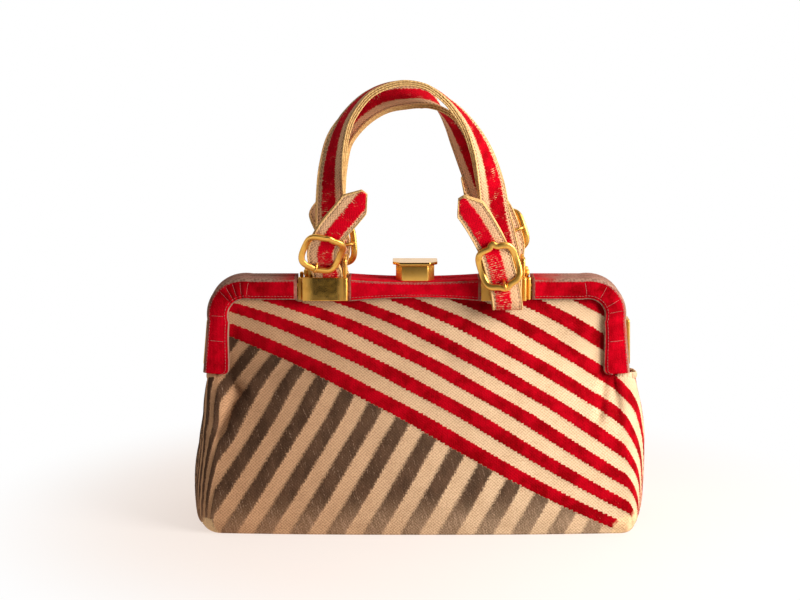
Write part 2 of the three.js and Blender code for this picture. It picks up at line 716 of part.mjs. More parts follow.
function strapGeometry(route, curve) {
  const tips = [route.points[0], route.points[route.points.length - 1]];
  const rings = strapPositions(route).map((position) => {
    const { place, across, out } = strapStation(route, curve, position);
    const width = Math.min(...tips.map((tip) => tipShare(place.distanceTo(tip))));
    return STRAP_PROFILE.map(([a, b]) => {
      const edge = place.clone().addScaledVector(across, a * width);
      return edge.addScaledVector(out, b);
    });
  });
  return sweepGeometry(rings);
}

// Buckles: a bowed ring in front of the tail, with its bar behind it

const BAR_BACK = STRAP_WALL / 2 + BAR_RADIUS + FIT;

// Puts a place given across, along and out of the strap into the bag's frame
function onStrap(station, outward, [across, along, out]) {
  return station.place.clone()
    .addScaledVector(station.across, across)
    .addScaledVector(station.along, along)
    .addScaledVector(outward, out);
}

function ringPath(turn) {
  const c = Math.cos(turn);
  const s = Math.sin(turn);
  const across = RING.halfWidth * Math.sign(c) * Math.cbrt(Math.abs(c));
  const plain = RING.halfHeight * Math.sign(s) * Math.cbrt(Math.abs(s));
  const bump = Math.sign(s) * RING.bump * Math.exp(-((across / RING.bumpWidth) ** 2));
  const bow = Math.min(1, (plain / RING.halfHeight) ** 2);
  return new THREE.Vector3(across, plain + bump * bow, -BAR_BACK + (RING_FRONT + BAR_BACK) * bow);
}

function buckleGeometry(station, outward) {
  const turnStep = 2 * Math.PI / RING_STEPS;
  const rings = Array.from({ length: RING_STEPS }, (_, i) => {
    const middle = ringPath((i + 0.5) * turnStep);
    const ahead = ringPath((i + 0.7) * turnStep).sub(ringPath((i + 0.3) * turnStep)).normalize();
    const face = new THREE.Vector3(0, 0, 1).addScaledVector(ahead, -ahead.z).normalize();
    const beside = new THREE.Vector3().crossVectors(ahead, face);
    return Array.from({ length: WIRE_SIDES }, (_, k) => {
      const angle = 2 * Math.PI * k / WIRE_SIDES;
      const point = middle.clone()
        .addScaledVector(beside, RING.wide * Math.cos(angle))
        .addScaledVector(face, RING.deep * Math.sin(angle));
      return onStrap(station, outward, point.toArray());
    });
  });
  const bar = new THREE.CylinderGeometry(BAR_RADIUS, BAR_RADIUS, 2 * RING.halfWidth, 8);
  bar.rotateZ(Math.PI / 2).translate(0, 0, -BAR_BACK);
  const handed = Math.sign(outward.dot(station.out));
  const across = station.across.clone().multiplyScalar(handed);
  const axes = new THREE.Matrix4().makeBasis(across, station.along, outward).setPosition(station.place);
  bar.applyMatrix4(axes);
  return join(sweepGeometry(rings, true), bar);
}

// The tongue runs from the bar through a slot in the tail and rests on the ring. down is -1 or 1, the
// way along the strap from the bar to the end of the ring nearest the bag.
function prongRoute(down) {
  const start = BAR_RADIUS + PRONG_RADIUS + FIT;
  const rest = RING_FRONT + RING.deep + PRONG_RADIUS + FIT;
  return [
    [0, down * start, -BAR_BACK],
    [0, down * (start + PRONG.rise), 0],
    [0, down * (start + PRONG.out), STRAP_WALL / 2 + PRONG_RADIUS + FIT],
    [0, down * (RING.halfHeight + PRONG.past), rest + PRONG.lift],
    [0, down * (RING.halfHeight + PRONG.tip), rest],
  ];
}

function prongGeometry(station, outward, down) {
  const middle = prongRoute(down).map((place) => new THREE.Vector3(...place));
  const rings = middle.map((point, i) => {
    const before = middle[Math.max(i - 1, 0)];
    const after = middle[Math.min(i + 1, middle.length - 1)];
    const ahead = after.clone().sub(before).normalize();
    const beside = new THREE.Vector3().crossVectors(ahead, X_AXIS);
    return Array.from({ length: WIRE_SIDES }, (_, k) => {
      const angle = 2 * Math.PI * k / WIRE_SIDES;
      const place = point.clone()
        .addScaledVector(X_AXIS, PRONG_RADIUS * Math.cos(angle))
        .addScaledVector(beside, PRONG_RADIUS * Math.sin(angle));
      return onStrap(station, outward, place.toArray());
    });
  });
  return sweepGeometry(rings);
}

function slotGeometry(station, outward, down) {
  const { near, far, half } = SLOT;
  const corners = [[-half, near], [half, near], [half, far], [-half, far]];
  const rings = [-STRAP_WALL, STRAP_WALL].map((out) => (
    corners.map(([across, along]) => onStrap(station, outward, [across, down * along, out]))));
  return sweepGeometry(rings);
}

function addHandle(name, handle) {
  const route = strapRoute(handle);
  const curve = new THREE.CatmullRomCurve3(route.points, false, 'centripetal');
  const slots = [];
  for (const { name: end, row } of handle.buckles) {
    const isLeft = end === 'left';
    const position = isLeft ? row : route.rightTailStart + row;
    const station = strapStation(route, curve, position);
    const outward = station.out.clone().multiplyScalar(Math.sign(station.out.y) * handle.side);
    const down = isLeft ? 1 : -1;
    slots.push(slotGeometry(station, outward, down));
    addPiece(`buckle_${name}_${end}`, buckleGeometry(station, outward), MATERIALS.brass);
    addPiece(`prong_${name}_${end}`, prongGeometry(station, outward, down), MATERIALS.brass);
  }
  addPiece(`handle_${name}`, cut(strapGeometry(route, curve), ...slots), MATERIALS.strap);
}

// Brackets and pins, drawn for the front right and mirrored into place

function earGeometry(x0) {
  const shape = new THREE.Shape();
  const low = FRAME_TOP - CHANNEL_TOP + FIT;
  const { round } = EAR;
  shape.moveTo(EAR.back, low);
  shape.lineTo(EAR.front, low);
  shape.lineTo(EAR.front, PIN_Z);
  shape.lineTo(PIN_Y + round, EAR.top - round);
  shape.absarc(PIN_Y, EAR.top - round, round, 0, Math.PI, false);
  shape.lineTo(EAR.back, PIN_Z);
  const hole = new THREE.Path();
  hole.absarc(PIN_Y, PIN_Z, PIN_RADIUS + FIT, 0, 2 * Math.PI, true);
  shape.holes.push(hole);
  const ear = new THREE.ExtrudeGeometry(shape, { depth: EAR.wall, bevelEnabled: false, curveSegments: 5 });
  const axes = new THREE.Matrix4().makeBasis(Y_AXIS, new THREE.Vector3(0, 0, 1), X_AXIS);
  return ear.applyMatrix4(axes).translate(x0, 0, 0);
}

function bracketGeometry() {
  const saddleTop = FRAME_TOP - CHANNEL_TOP + FIT + SADDLE.wall;
  const saddleBack = CHANNEL_FRONT + FIT;
  const saddleFront = saddleBack + SADDLE.wall;
  const plateBack = PLATE.front - PLATE.wall;
  const { outer, inner, back, wall, rise } = SADDLE;
  const spacerLow = PLATE.low + SPACER.rise;
  const plateMiddle = (plateBack + PLATE.front) / 2;
  return join(
    box(-inner, outer, back, saddleFront, saddleTop - wall, saddleTop),
    box(-inner, outer, saddleBack, saddleFront, PLATE.low + rise, saddleTop),
    box(-SPACER.halfWidth, SPACER.halfWidth, saddleBack, plateMiddle, spacerLow, saddleTop),
    box(-PLATE.halfWidth, PLATE.halfWidth, plateBack, PLATE.front, PLATE.low, PLATE.high),
    earGeometry(EAR.inside),
    earGeometry(-EAR.inside - EAR.wall),
  );
}

function pinGeometry() {
  const inner = -EAR.inside - EAR.wall - FIT;
  const neck = EAR.inside + EAR.wall + FIT;
  const end = neck + KNOB.length;
  const profile = [
    new THREE.Vector2(0, inner),
    new THREE.Vector2(PIN_RADIUS, inner),
    new THREE.Vector2(PIN_RADIUS, neck),
    new THREE.Vector2(KNOB.neck, neck),
    new THREE.Vector2(KNOB.radius, neck + KNOB.bevel),
    new THREE.Vector2(KNOB.radius, end - KNOB.round),
    new THREE.Vector2(KNOB.radius - KNOB.round, end),
    new THREE.Vector2(0, end),
  ];
  return new THREE.LatheGeometry(profile, PIN_SIDES).rotateZ(-Math.PI / 2).translate(0, PIN_Y, PIN_Z);
}

// Moves a piece drawn for a right-hand place with its front at +Y, mirroring it where needed
function placed(geometry, mirrorX, mirrorY) {
  const bare = geometry.clone();
  bare.deleteAttribute('normal');
  bare.deleteAttribute('uv');
  const merged = mergeVertices(bare, 1e-4);
  const points = [];
  const position = merged.attributes.position;
  for (let i = 0; i < position.count; i += 1) {
    const x = BRACKET_X + position.getX(i);
    points.push(new THREE.Vector3(mirrorX * x, mirrorY * position.getY(i), position.getZ(i)));
  }
  const triangles = [];
  const { array } = merged.index;
  for (let i = 0; i < array.length; i += 3) triangles.push([array[i], array[i + 1], array[i + 2]]);
  return closedGeometry(points, triangles);
}

function addBrackets() {
  const bracket = bracketGeometry();
  const pin = pinGeometry();
  for (const [end, mirrorX] of [['left', -1], ['right', 1]]) {
    for (const [face, mirrorY] of [['front', -1], ['back', 1]]) {
      addPiece(`bracket_${face}_${end}`, placed(bracket, mirrorX, mirrorY), MATERIALS.brass);
      addPiece(`pin_${face}_${end}`, placed(pin, mirrorX, mirrorY), MATERIALS.brass);
    }
  }
}

// Clasp

// A flat block with cut front corners, seen from above
function claspBlock(halfWidth, front, back, chamfer, low, high) {
  const outline = [
    [-halfWidth, back],
    [-halfWidth, -front + chamfer],
    [-halfWidth + chamfer, -front],
    [halfWidth - chamfer, -front],
    [halfWidth, -front + chamfer],
    [halfWidth, back],
  ];
  const shape = new THREE.Shape(outline.map(([x, y]) => new THREE.Vector2(x, y)));
  const block = new THREE.ExtrudeGeometry(shape, { depth: high - low, bevelEnabled: false });
  return block.translate(CLASP_X, 0, low);
}

function hingeRound(x0, x1) {
  const round = new THREE.CylinderGeometry(HINGE.radius, HINGE.radius, x1 - x0, 12);
  return round.rotateZ(Math.PI / 2).translate(CLASP_X + (x0 + x1) / 2, HINGE.y, HINGE.z);
}

function addClasp() {
  const low = FRAME_TOP + FIT;
  const lever = CLASP_TOP + FIT;
  addPiece('clasp_case', claspBlock(CLASP_HALF_WIDTH, CLASP_FRONT, -MID_GAP, CLASP_CHAMFER, low, CLASP_TOP),
    MATERIALS.brass);

  const knuckles = [-1, 1].flatMap((way) => {
    const ends = [way * (HINGE.half + HINGE.gap), way * (HINGE.half + HINGE.gap + HINGE.knuckle)];
    const x0 = Math.min(...ends);
    const x1 = Math.max(...ends);
    const low = HINGE.z - HINGE.radius;
    const web = box(CLASP_X + x0, CLASP_X + x1, CLASP_BACK - HINGE.sink, HINGE.y, low, HINGE.z - FIT);
    return [hingeRound(x0, x1), web];
  });
  const left = CLASP_X - CLASP_HALF_WIDTH;
  const block = box(left, left + 2 * CLASP_HALF_WIDTH, MID_GAP, CLASP_BACK, low, CLASP_TOP);
  addPiece('clasp_post', join(block, ...knuckles), MATERIALS.brass);

  const { halfWidth, front, back, chamfer, wall, neckWall } = LEVER;
  const plate = claspBlock(halfWidth, front, back, chamfer, lever, lever + wall);
  const neckLeft = CLASP_X - HINGE.half;
  const neck = box(neckLeft, neckLeft + 2 * HINGE.half, back - HINGE.sink, HINGE.y, lever, lever + neckWall);
  addPiece('clasp_lever', join(plate, neck, hingeRound(-HINGE.half, HINGE.half)), MATERIALS.brass);
}

function addSideHinges() {
  for (const [end, way] of [['left', -1], ['right', 1]]) {
    const plate = new THREE.BoxGeometry(SIDE_PLATE.wall, 2 * SIDE_PLATE.halfDepth, SIDE_PLATE.length);
    const station = legStation((SIDE_PLATE.middle - LEG_FOOT_Z) / Math.cos(LEG_FLARE));
    const offset = FIT + SIDE_PLATE.wall / 2;
    const mesh = addPiece(`side_hinge_${end}`, plate, MATERIALS.brass);
    mesh.position.set(way * (station.x + offset * station.out[0]), 0, station.z + offset * station.out[1]);
    mesh.rotation.y = -way * LEG_FLARE;
  }
}

function addFrame() {
  for (const [face, side] of [['front', -1], ['back', 1]]) {
    addPiece(`frame_${face}`, channelGeometry(side), MATERIALS.brass);
    addPiece(`${face}_cover_left`, sideCoverGeometry(-1, side), MATERIALS.redVelvet);
    addPiece(`${face}_cover_mid`, midCoverGeometry(side), MATERIALS.redVelvet);
    addPiece(`${face}_cover_right`, sideCoverGeometry(1, side), MATERIALS.redVelvet);
  }
}

function addBody() {
  addPiece('front_panel', wallGeometry(-1, FRONT_DENTS), MATERIALS.stripedVelvet);
  addPiece('back_panel', wallGeometry(1, BACK_DENTS), MATERIALS.stripedVelvet);
  addPiece('base_panel', baseGeometry(), MATERIALS.baseCloth);
}

addBody();
addFrame();
addSideHinges();
addBrackets();
addHandle('front', HANDLES.front);
addHandle('back', HANDLES.back);
addClasp();

export default part;
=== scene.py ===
"""A velvet handbag dressed for its picture.

Striped cloth walls hang from a frame in velvet sleeves, two stitched strap handles fold round pins and
close with buckles, and a flip clasp sits on top. Shapes are worked out in millimetres, in the frame of the
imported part: +X to the viewer's right, +Y away from the viewer, +Z up, with the origin in the middle of the
base.
"""

from __future__ import annotations

import logging
from dataclasses import dataclass, field, replace
from enum import Enum
from functools import reduce
from math import cos, pi, radians, sin
from typing import Callable, NamedTuple, Sequence

import bpy
import numpy as np
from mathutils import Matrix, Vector

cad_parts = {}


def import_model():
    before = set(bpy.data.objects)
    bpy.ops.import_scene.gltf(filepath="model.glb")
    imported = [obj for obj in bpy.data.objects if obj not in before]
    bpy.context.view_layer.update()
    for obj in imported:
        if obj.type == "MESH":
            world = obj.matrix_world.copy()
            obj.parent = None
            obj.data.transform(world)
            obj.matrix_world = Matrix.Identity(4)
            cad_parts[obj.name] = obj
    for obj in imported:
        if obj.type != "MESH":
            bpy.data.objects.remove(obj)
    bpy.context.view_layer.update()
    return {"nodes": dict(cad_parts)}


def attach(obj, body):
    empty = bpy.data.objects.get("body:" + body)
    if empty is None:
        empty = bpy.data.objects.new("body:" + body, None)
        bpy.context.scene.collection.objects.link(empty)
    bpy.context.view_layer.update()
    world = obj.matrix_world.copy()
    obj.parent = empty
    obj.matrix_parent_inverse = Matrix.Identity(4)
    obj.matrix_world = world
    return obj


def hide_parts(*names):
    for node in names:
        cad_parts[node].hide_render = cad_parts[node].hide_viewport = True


MM = 0.001
BAG, LEVER = "bag", "lever"

Array = np.ndarray
Pair = tuple[float, float]
Socket = bpy.types.NodeSocket
log = logging.getLogger("handbag")


class Way(Enum):
    """A way out from the middle of the bag, as the sign of an axis."""

    @property
    def word(self) -> str:
        """The way's name, as it stands in the names of pieces and nodes."""
        return self.name.lower()


class Side(Way):
    """The two faces of the bag, as the sign of Y."""

    FRONT = -1
    BACK = 1


class End(Way):
    """The two ends of the bag, as the sign of X."""

    LEFT = -1
    RIGHT = 1


class Slot(Enum):
    """The record's material slots."""

    STRIPED = "striped_velvet"
    RED = "red_velvet"
    BASE = "base_cloth"
    STRAP = "strap_velvet"
    BRASS = "brass"


# Arrays


def smoothstep(value: Array | float, low: float, high: float) -> Array:
    """Rises smoothly from 0 at low to 1 at high, as 3 t squared less 2 t cubed."""
    share = np.clip((np.asarray(value, float) - low) / (high - low), 0, 1)
    return share * share * (3 - 2 * share)


def unit(vectors: Array) -> Array:
    """Scales vectors to length 1, and leaves a vector of no length as it is."""
    length = np.linalg.norm(vectors, axis=-1, keepdims=True)
    return vectors / np.maximum(length, 1e-9)


def running_length(points: Array, axis: int) -> Array:
    """The length run along one axis of a grid of points, from 0 at its start.

    Args:
        points: the grid.
        axis: the axis to run along.

    Returns:
        The length at every point.
    """
    steps = np.linalg.norm(np.diff(points, axis=axis), axis=-1)
    start = np.zeros_like(np.take(steps, [0], axis=axis))
    return np.concatenate([start, np.cumsum(steps, axis=axis)], axis=axis)


def grid_area(points: Array) -> float:
    """The area of a grid of points: half the length of the cross product of each cell's two diagonals."""
    falling, rising = points[1:, 1:] - points[:-1, :-1], points[1:, :-1] - points[:-1, 1:]
    return 0.5 * float(np.linalg.norm(np.cross(falling, rising), axis=-1).sum())


def hermite(t: Array, start: Array, end: Array, leave: Array, arrive: Array) -> Array:
    """A cubic from start at t = 0 to end at t = 1, with the slopes leave and arrive there.

    Args:
        t: places from 0 to 1.
        start: the value at 0.
        end: the value at 1.
        leave: the slope at 0.
        arrive: the slope at 1.

    Returns:
        The value at each place.
    """
    square = 3 * (end - start) - 2 * leave - arrive
    cubic = 2 * (start - end) + leave + arrive
    return start + t * (leave + t * (square + t * cubic))


def read_smoothly(heights: Sequence[float], values: Sequence[float], z: Array) -> Array:
    """Reads a short table by height, on a cubic whose slope at a row is that between the row's neighbours.

    Args:
        heights: the heights of the rows, rising.
        values: the value of each row.
        z: the heights to read.

    Returns:
        The value at each height, held level past the ends of the table.
    """
    rows, column = np.asarray(heights, float), np.asarray(values, float)
    last = len(rows) - 1
    before = np.maximum(np.arange(last + 1) - 1, 0)
    after = np.minimum(np.arange(last + 1) + 1, last)
    slope = (column[after] - column[before]) / (rows[after] - rows[before])
    z = np.clip(z, rows[0], rows[last])
    i = np.clip(np.searchsorted(rows, z, side="right") - 1, 0, last - 1)
    step = rows[i + 1] - rows[i]
    return hermite((z - rows[i]) / step, column[i], column[i + 1], slope[i] * step, slope[i + 1] * step)


def catmull_rom(controls: Array, positions: Array) -> Array:
    """Points of a centripetal Catmull-Rom curve, whose knots lie the square root of a span apart.

    Args:
        controls: the points that the curve passes through.
        positions: places along it, counted in controls.

    Returns:
        One point for each position.
    """
    first, last = 2 * controls[0] - controls[1], 2 * controls[-1] - controls[-2]
    padded = np.concatenate([[first], controls, [last]])
    i = np.clip(np.floor(positions).astype(int), 0, len(controls) - 2)
    t = (positions - i)[:, None]
    a, b, c, d = (padded[i + k] for k in range(4))
    before, here, after = (
        np.sqrt(np.linalg.norm(q - p, axis=1))[:, None] for p, q in ((a, b), (b, c), (c, d))
    )
    leave = here * ((b - a) / before - (c - a) / (before + here) + (c - b) / here)
    arrive = here * ((c - b) / here - (d - b) / (here + after) + (d - c) / after)
    return hermite(t, b, c, leave, arrive)


# Surfaces


@dataclass
class Surface:
    """A mesh in millimetres: points, faces of three or four corners, and a flat place for every corner."""

    points: Array
    faces: list[Array]
    flats: list[Array]
    values: dict[str, Array] = field(default_factory=dict)

    @staticmethod
    def joined(parts: Sequence[Surface]) -> Surface:
        """One surface that holds all the parts.

        Args:
            parts: the surfaces to join.

        Returns:
            The joined surface, without values.
        """
        shifts = np.cumsum([0] + [len(part.points) for part in parts[:-1]])
        faces = [group + shift for part, shift in zip(parts, shifts) for group in part.faces]
        flats = [group for part in parts for group in part.flats]
        return Surface(np.concatenate([part.points for part in parts]), faces, flats)

    def turned(self) -> Surface:
        """The same surface with its faces turned round."""
        faces = [group[:, ::-1] for group in self.faces]
        return Surface(self.points, faces, [group[:, ::-1] for group in self.flats], self.values)

    def outward(self) -> Surface:
        """The closed surface with its faces pointing out, judged by its signed volume."""
        volume = 0.0
        for group in self.faces:
            first = self.points[group[:, 0]]
            for k in range(1, group.shape[1] - 1):
                volume += np.sum(first * np.cross(self.points[group[:, k]], self.points[group[:, k + 1]]))
        return self if volume > 0 else self.turned()

    def placed(self, axes: Array, origin: Array) -> Surface:
        """The surface with its own axes laid along the rows of axes, at origin."""
        points = self.points @ np.asarray(axes, float) + np.asarray(origin, float)
        return Surface(points, self.faces, self.flats, self.values).outward()

    def make(self, name: str, finish: bpy.types.Material, crease: float = 180.0) -> bpy.types.Object:
        """Puts the surface into a new object.

        Args:
            name: the object's name.
            finish: its material.
            crease: the angle between faces, in degrees, past which an edge is shown sharp.

        Returns:
            The object, linked into the scene.
        """
        corners = np.concatenate([group.ravel() for group in self.faces])
        sizes = np.concatenate([np.full(len(group), group.shape[1]) for group in self.faces])
        starts = np.concatenate([[0], np.cumsum(sizes)[:-1]])
        flats = np.concatenate([group.reshape(-1, 2) for group in self.flats])
        mesh = bpy.data.meshes.new(name)
        mesh.vertices.add(len(self.points))
        mesh.vertices.foreach_set("co", (self.points * MM).astype(np.float32).ravel())
        mesh.loops.add(len(corners))
        mesh.loops.foreach_set("vertex_index", corners.astype(np.int32))
        mesh.polygons.add(len(sizes))
        mesh.polygons.foreach_set("loop_start", starts.astype(np.int32))
        mesh.polygons.foreach_set("use_smooth", np.ones(len(sizes), bool))
        mesh.uv_layers.new(name="flat").data.foreach_set("uv", (flats * MM).astype(np.float32).ravel())
        for key, values in self.values.items():
            attribute = mesh.attributes.new(key, "FLOAT", "POINT")
            attribute.data.foreach_set("value", np.asarray(values, np.float32).ravel())
        mesh.update(calc_edges=True)
        mesh.validate()
        if crease < 180:
            mesh.set_sharp_from_angle(angle=radians(crease))
        mesh.materials.append(finish)
        piece = bpy.data.objects.new(name, mesh)
        bpy.context.scene.collection.objects.link(piece)
        return piece


def woven(
    points: Array, flat: Array, wraps: bool = False, loops: bool = False, cells: Array | None = None,
) -> Surface:
    """Joins a grid of points into four-sided faces, each between two rows and two columns.

    Args:
        points: rows by columns of points.
        flat: the flat place of each point, with one more column where the grid wraps and one more row where
            it loops.
        wraps: whether the last column joins the first.
        loops: whether the last row joins the first.
        cells: which cells of the grid get a face; all of them if left out.

    Returns:
        The surface, with all the points of the grid.
    """
    rows, columns = points.shape[:2]
    r, c = np.meshgrid(np.arange(rows - (not loops)), np.arange(columns - (not wraps)), indexing="ij")
    r, c = r.ravel(), c.ravel()
    if cells is not None:
        r, c = r[cells[r, c]], c[cells[r, c]]
    corner_rows = np.stack([r, r, r + 1, r + 1], axis=1)
    corner_columns = np.stack([c, c + 1, c + 1, c], axis=1)
    faces = (corner_rows % rows) * columns + corner_columns % columns
    return Surface(points.reshape(-1, 3), [faces], [flat[corner_rows, corner_columns]])


def shell(outer: Array, inner: Array, flat: Array, cells: Array | None = None) -> Surface:
    """A wall with thickness: an outer and an inner grid with a rim round every open edge.

    Args:
        outer: rows by columns of points of the outer face.
        inner: the matching points of the inner face.
        flat: the flat place of each outer point.
        cells: which cells of the grid are used.

    Returns:
        A closed surface without unused points.
    """
    count = outer.shape[0] * outer.shape[1]
    face = woven(outer, flat, cells=cells)
    quads, flats = face.faces[0], face.flats[0]
    starts, ends = quads.ravel(), np.roll(quads, -1, axis=1).ravel()
    is_open = ~np.isin(starts * count + ends, ends * count + starts)
    a, b = starts[is_open], ends[is_open]
    faces = np.concatenate([quads, quads[:, ::-1] + count, np.stack([b, a, a + count, b + count], axis=1)])
    rim = flat.reshape(-1, 2)[np.stack([b, a, a, b], axis=1)]
    used, order = np.unique(faces, return_inverse=True)
    points = np.concatenate([outer.reshape(-1, 3), inner.reshape(-1, 3)])[used]
    return Surface(points, [order.reshape(-1, 4)], [np.concatenate([flats, flats[:, ::-1], rim])]).outward()


def tube(rings: Array, flat: Array | None = None, loops: bool = False) -> Surface:
    """Carries a closed ring along a path; an open tube is capped with fans round the middle of its end rings.

    Args:
        rings: rings by points by three.
        flat: the flat places, or None for a plain count.
        loops: whether the last ring joins the first.

    Returns:
        A closed surface.
    """
    count, sides = rings.shape[:2]
    if flat is None:
        flat = np.stack(np.meshgrid(np.arange(count + 1.0), np.arange(sides + 1.0), indexing="ij"), axis=-1)
    side = woven(rings, flat, wraps=True, loops=loops)
    if loops:
        return side.outward()
    k = np.arange(sides)
    following = (k + 1) % sides
    last = (count - 1) * sides
    middles = np.full(sides, count * sides)
    caps = [
        np.stack([following, k, middles], axis=1),
        np.stack([last + k, last + following, middles + 1], axis=1),
    ]
    cap_flats = [np.broadcast_to(flat[row, 0], (sides, 3, 2)) for row in (0, count - 1)]
    points = np.concatenate([side.points, [rings[0].mean(axis=0), rings[-1].mean(axis=0)]])
    return Surface(points, side.faces + caps, side.flats + cap_flats).outward()


def swept(path: Array, radius: Array | float, sides: int = 12, loops: bool = False) -> Surface:
    """A round wire along a path, turned as little as the path allows.

    Each ring lies square to the path, on two axes worked out from one fixed direction, the one that the path
    follows least.

    Args:
        path: the points of the path.
        radius: the wire's radius, for all points or for each.
        sides: the number of its sides.
        loops: whether the path closes on itself.

    Returns:
        A closed surface.
    """
    ahead = np.roll(path, -1, axis=0) - np.roll(path, 1, axis=0) if loops else np.gradient(path, axis=0)
    ahead = unit(ahead)
    least = int(np.argmin(np.abs(ahead).max(axis=0)))
    across = unit(np.cross(ahead, np.eye(3)[least]))
    up = np.cross(across, ahead)
    angle = np.linspace(0, 2 * pi, sides, endpoint=False)[None, :, None]
    size = np.broadcast_to(np.asarray(radius, float), len(path))[:, None, None]
    rings = path[:, None] + size * (np.cos(angle) * across[:, None] + np.sin(angle) * up[:, None])
    return tube(rings, loops=loops)


def lathe(profile: Sequence[tuple[float, float]], sides: int) -> Surface:
    """Turns a profile of (place along X, radius) rows round the X axis.

    Args:
        profile: the rows.
        sides: the number of sides.

    Returns:
        A closed surface.
    """
    along, radius = (np.array(column, float)[:, None] for column in zip(*profile))
    angle = np.linspace(0, 2 * pi, sides, endpoint=False)[None, :]
    rings = np.stack(np.broadcast_arrays(along, radius * np.cos(angle), radius * np.sin(angle)), axis=-1)
    return tube(rings)


def rounded(corners: Sequence[tuple[float, float]], radius: float, steps: int = 6) -> Array:
    """Rounds the corners of an outline, each with a parabola between points at radius from the corner.

    Args:
        corners: the outline's corners in order.
        radius: how far from a corner its round starts.
        steps: the points in each round.

    Returns:
        The outline's points.
    """
    middle = np.asarray(corners, float)
    start = middle + radius * unit(np.roll(middle, 1, axis=0) - middle)
    end = middle + radius * unit(np.roll(middle, -1, axis=0) - middle)
    t = np.linspace(0, 1, steps)[None, :, None]
    arcs = (1 - t) ** 2 * start[:, None] + 2 * t * (1 - t) * middle[:, None] + t ** 2 * end[:, None]
    return arcs.reshape(-1, 2)


def box_outline(x0: float, x1: float, y0: float, y1: float, radius: float) -> Array:
    """A rectangle with rounded corners."""
    return rounded([(x0, y0), (x1, y0), (x1, y1), (x0, y1)], radius)


def plate(outline: Array, low: float, high: float, bevel: float, steps: int = 4) -> Surface:
    """A flat plate with rounded edges: a quarter round, a straight wall and a quarter round.

    Args:
        outline: the convex outline, in X and Y.
        low: the height of the lower face.
        high: the height of the upper face.
        bevel: the radius of the edges.
        steps: the rings in each quarter round.

    Returns:
        A closed surface.
    """
    ahead = unit(np.roll(outline, -1, axis=0) - np.roll(outline, 1, axis=0))
    turning = np.sum(np.cross(outline, np.roll(outline, -1, axis=0)))
    inward = np.sign(turning) * np.stack([-ahead[:, 1], ahead[:, 0]], axis=1)
    angle = np.linspace(0, pi / 2, steps)
    rim = 1.25 * bevel
    inset = np.concatenate([[rim], bevel * (1 - np.sin(angle))])
    rise = np.concatenate([[0.0], bevel * (1 - np.cos(angle))])
    insets = np.concatenate([inset, inset[::-1]])
    heights = np.concatenate([low + rise, high - rise[::-1]])
    rings = outline[None] + insets[:, None, None] * inward[None]
    upright = np.broadcast_to(heights[:, None, None], rings.shape[:2] + (1,))
    return tube(np.concatenate([rings, upright], axis=2))


def stitches(centres: Array, along: Array, out: Array, length: float, radius: float) -> Surface:
    """Many short bowed threads as one mesh, each of five six-sided rings, thick in the middle.

    Args:
        centres: the middle of each stitch on the cloth.
        along: the way each stitch runs.
        out: the way out of the cloth.
        length: the length of a stitch.
        radius: the thread's radius.

    Returns:
        One closed surface for each stitch, joined.
    """
    sides = 6
    t = np.array([-1.0, -0.65, 0.0, 0.65, 1.0])
    thick = radius * np.array([0.35, 0.9, 1.0, 0.9, 0.35])
    angle = np.linspace(0, 2 * pi, sides, endpoint=False)
    along, out = unit(along), unit(out)
    across = np.cross(along, out)
    path = centres[:, None] + 0.5 * length * t[None, :, None] * along[:, None]
    bow = 1 - 1.2 * t ** 2
    path = path + radius * bow[None, :, None] * out[:, None]
    ring = np.cos(angle)[None, :, None] * across[:, None] + np.sin(angle)[None, :, None] * out[:, None]
    points = path[:, :, None] + thick[None, :, None, None] * ring[:, None]
    side = woven(points[0], np.zeros((len(t), sides + 1, 2)), wraps=True).faces[0]
    first_cap = np.array([[3, 2, 1, 0], [5, 4, 3, 0]])
    last_cap = first_cap[:, ::-1] + (len(t) - 1) * sides
    one = np.concatenate([side, first_cap, last_cap])
    faces = (one[None] + len(t) * sides * np.arange(len(centres))[:, None, None]).reshape(-1, 4)
    return Surface(points.reshape(-1, 3), [faces], [np.zeros((len(faces), 4, 2))]).outward()


def sampled(values: Array, length: Array, places: Array) -> Array:
    """Reads rows of vectors at places along their running length."""
    return np.stack([np.interp(places, length, values[:, k]) for k in range(values.shape[1])], axis=1)


@dataclass(frozen=True)
class Seam:
    """A row of stitches: how long each is, how far apart their middles lie and how thick the thread is."""

    stitch: float
    pitch: float
    radius: float

    def sewn(self, run: Array, line: Array, along: Array, out: Array) -> Surface:
        """Stitches a line, from half a pitch in.

        Args:
            run: the running length at each point of the line.
            line: the points.
            along: the way the line runs at each point.
            out: the way out of the cloth there.

        Returns:
            The stitches as one surface.
        """
        places = np.arange(self.pitch / 2, run[-1] - self.pitch / 4, self.pitch)
        rows = (sampled(values, run, places) for values in (line, along, out))
        return stitches(*rows, self.stitch, self.radius)


def settle(piece: bpy.types.Object, slot: Slot, *nodes: str, body: str = BAG) -> bpy.types.Object:
    """Makes a piece ride on its body and stand for its nodes.

    Args:
        piece: the finished object.
        slot: its material slot; not used.
        nodes: the part's nodes that it stands for.
        body: the body that it rides on.

    Returns:
        The piece.
    """
    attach(piece, body)
    if nodes:
        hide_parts(*nodes)
    log.info("%s: %d faces", piece.name, len(piece.data.polygons))
    return piece


# Frame and sleeves


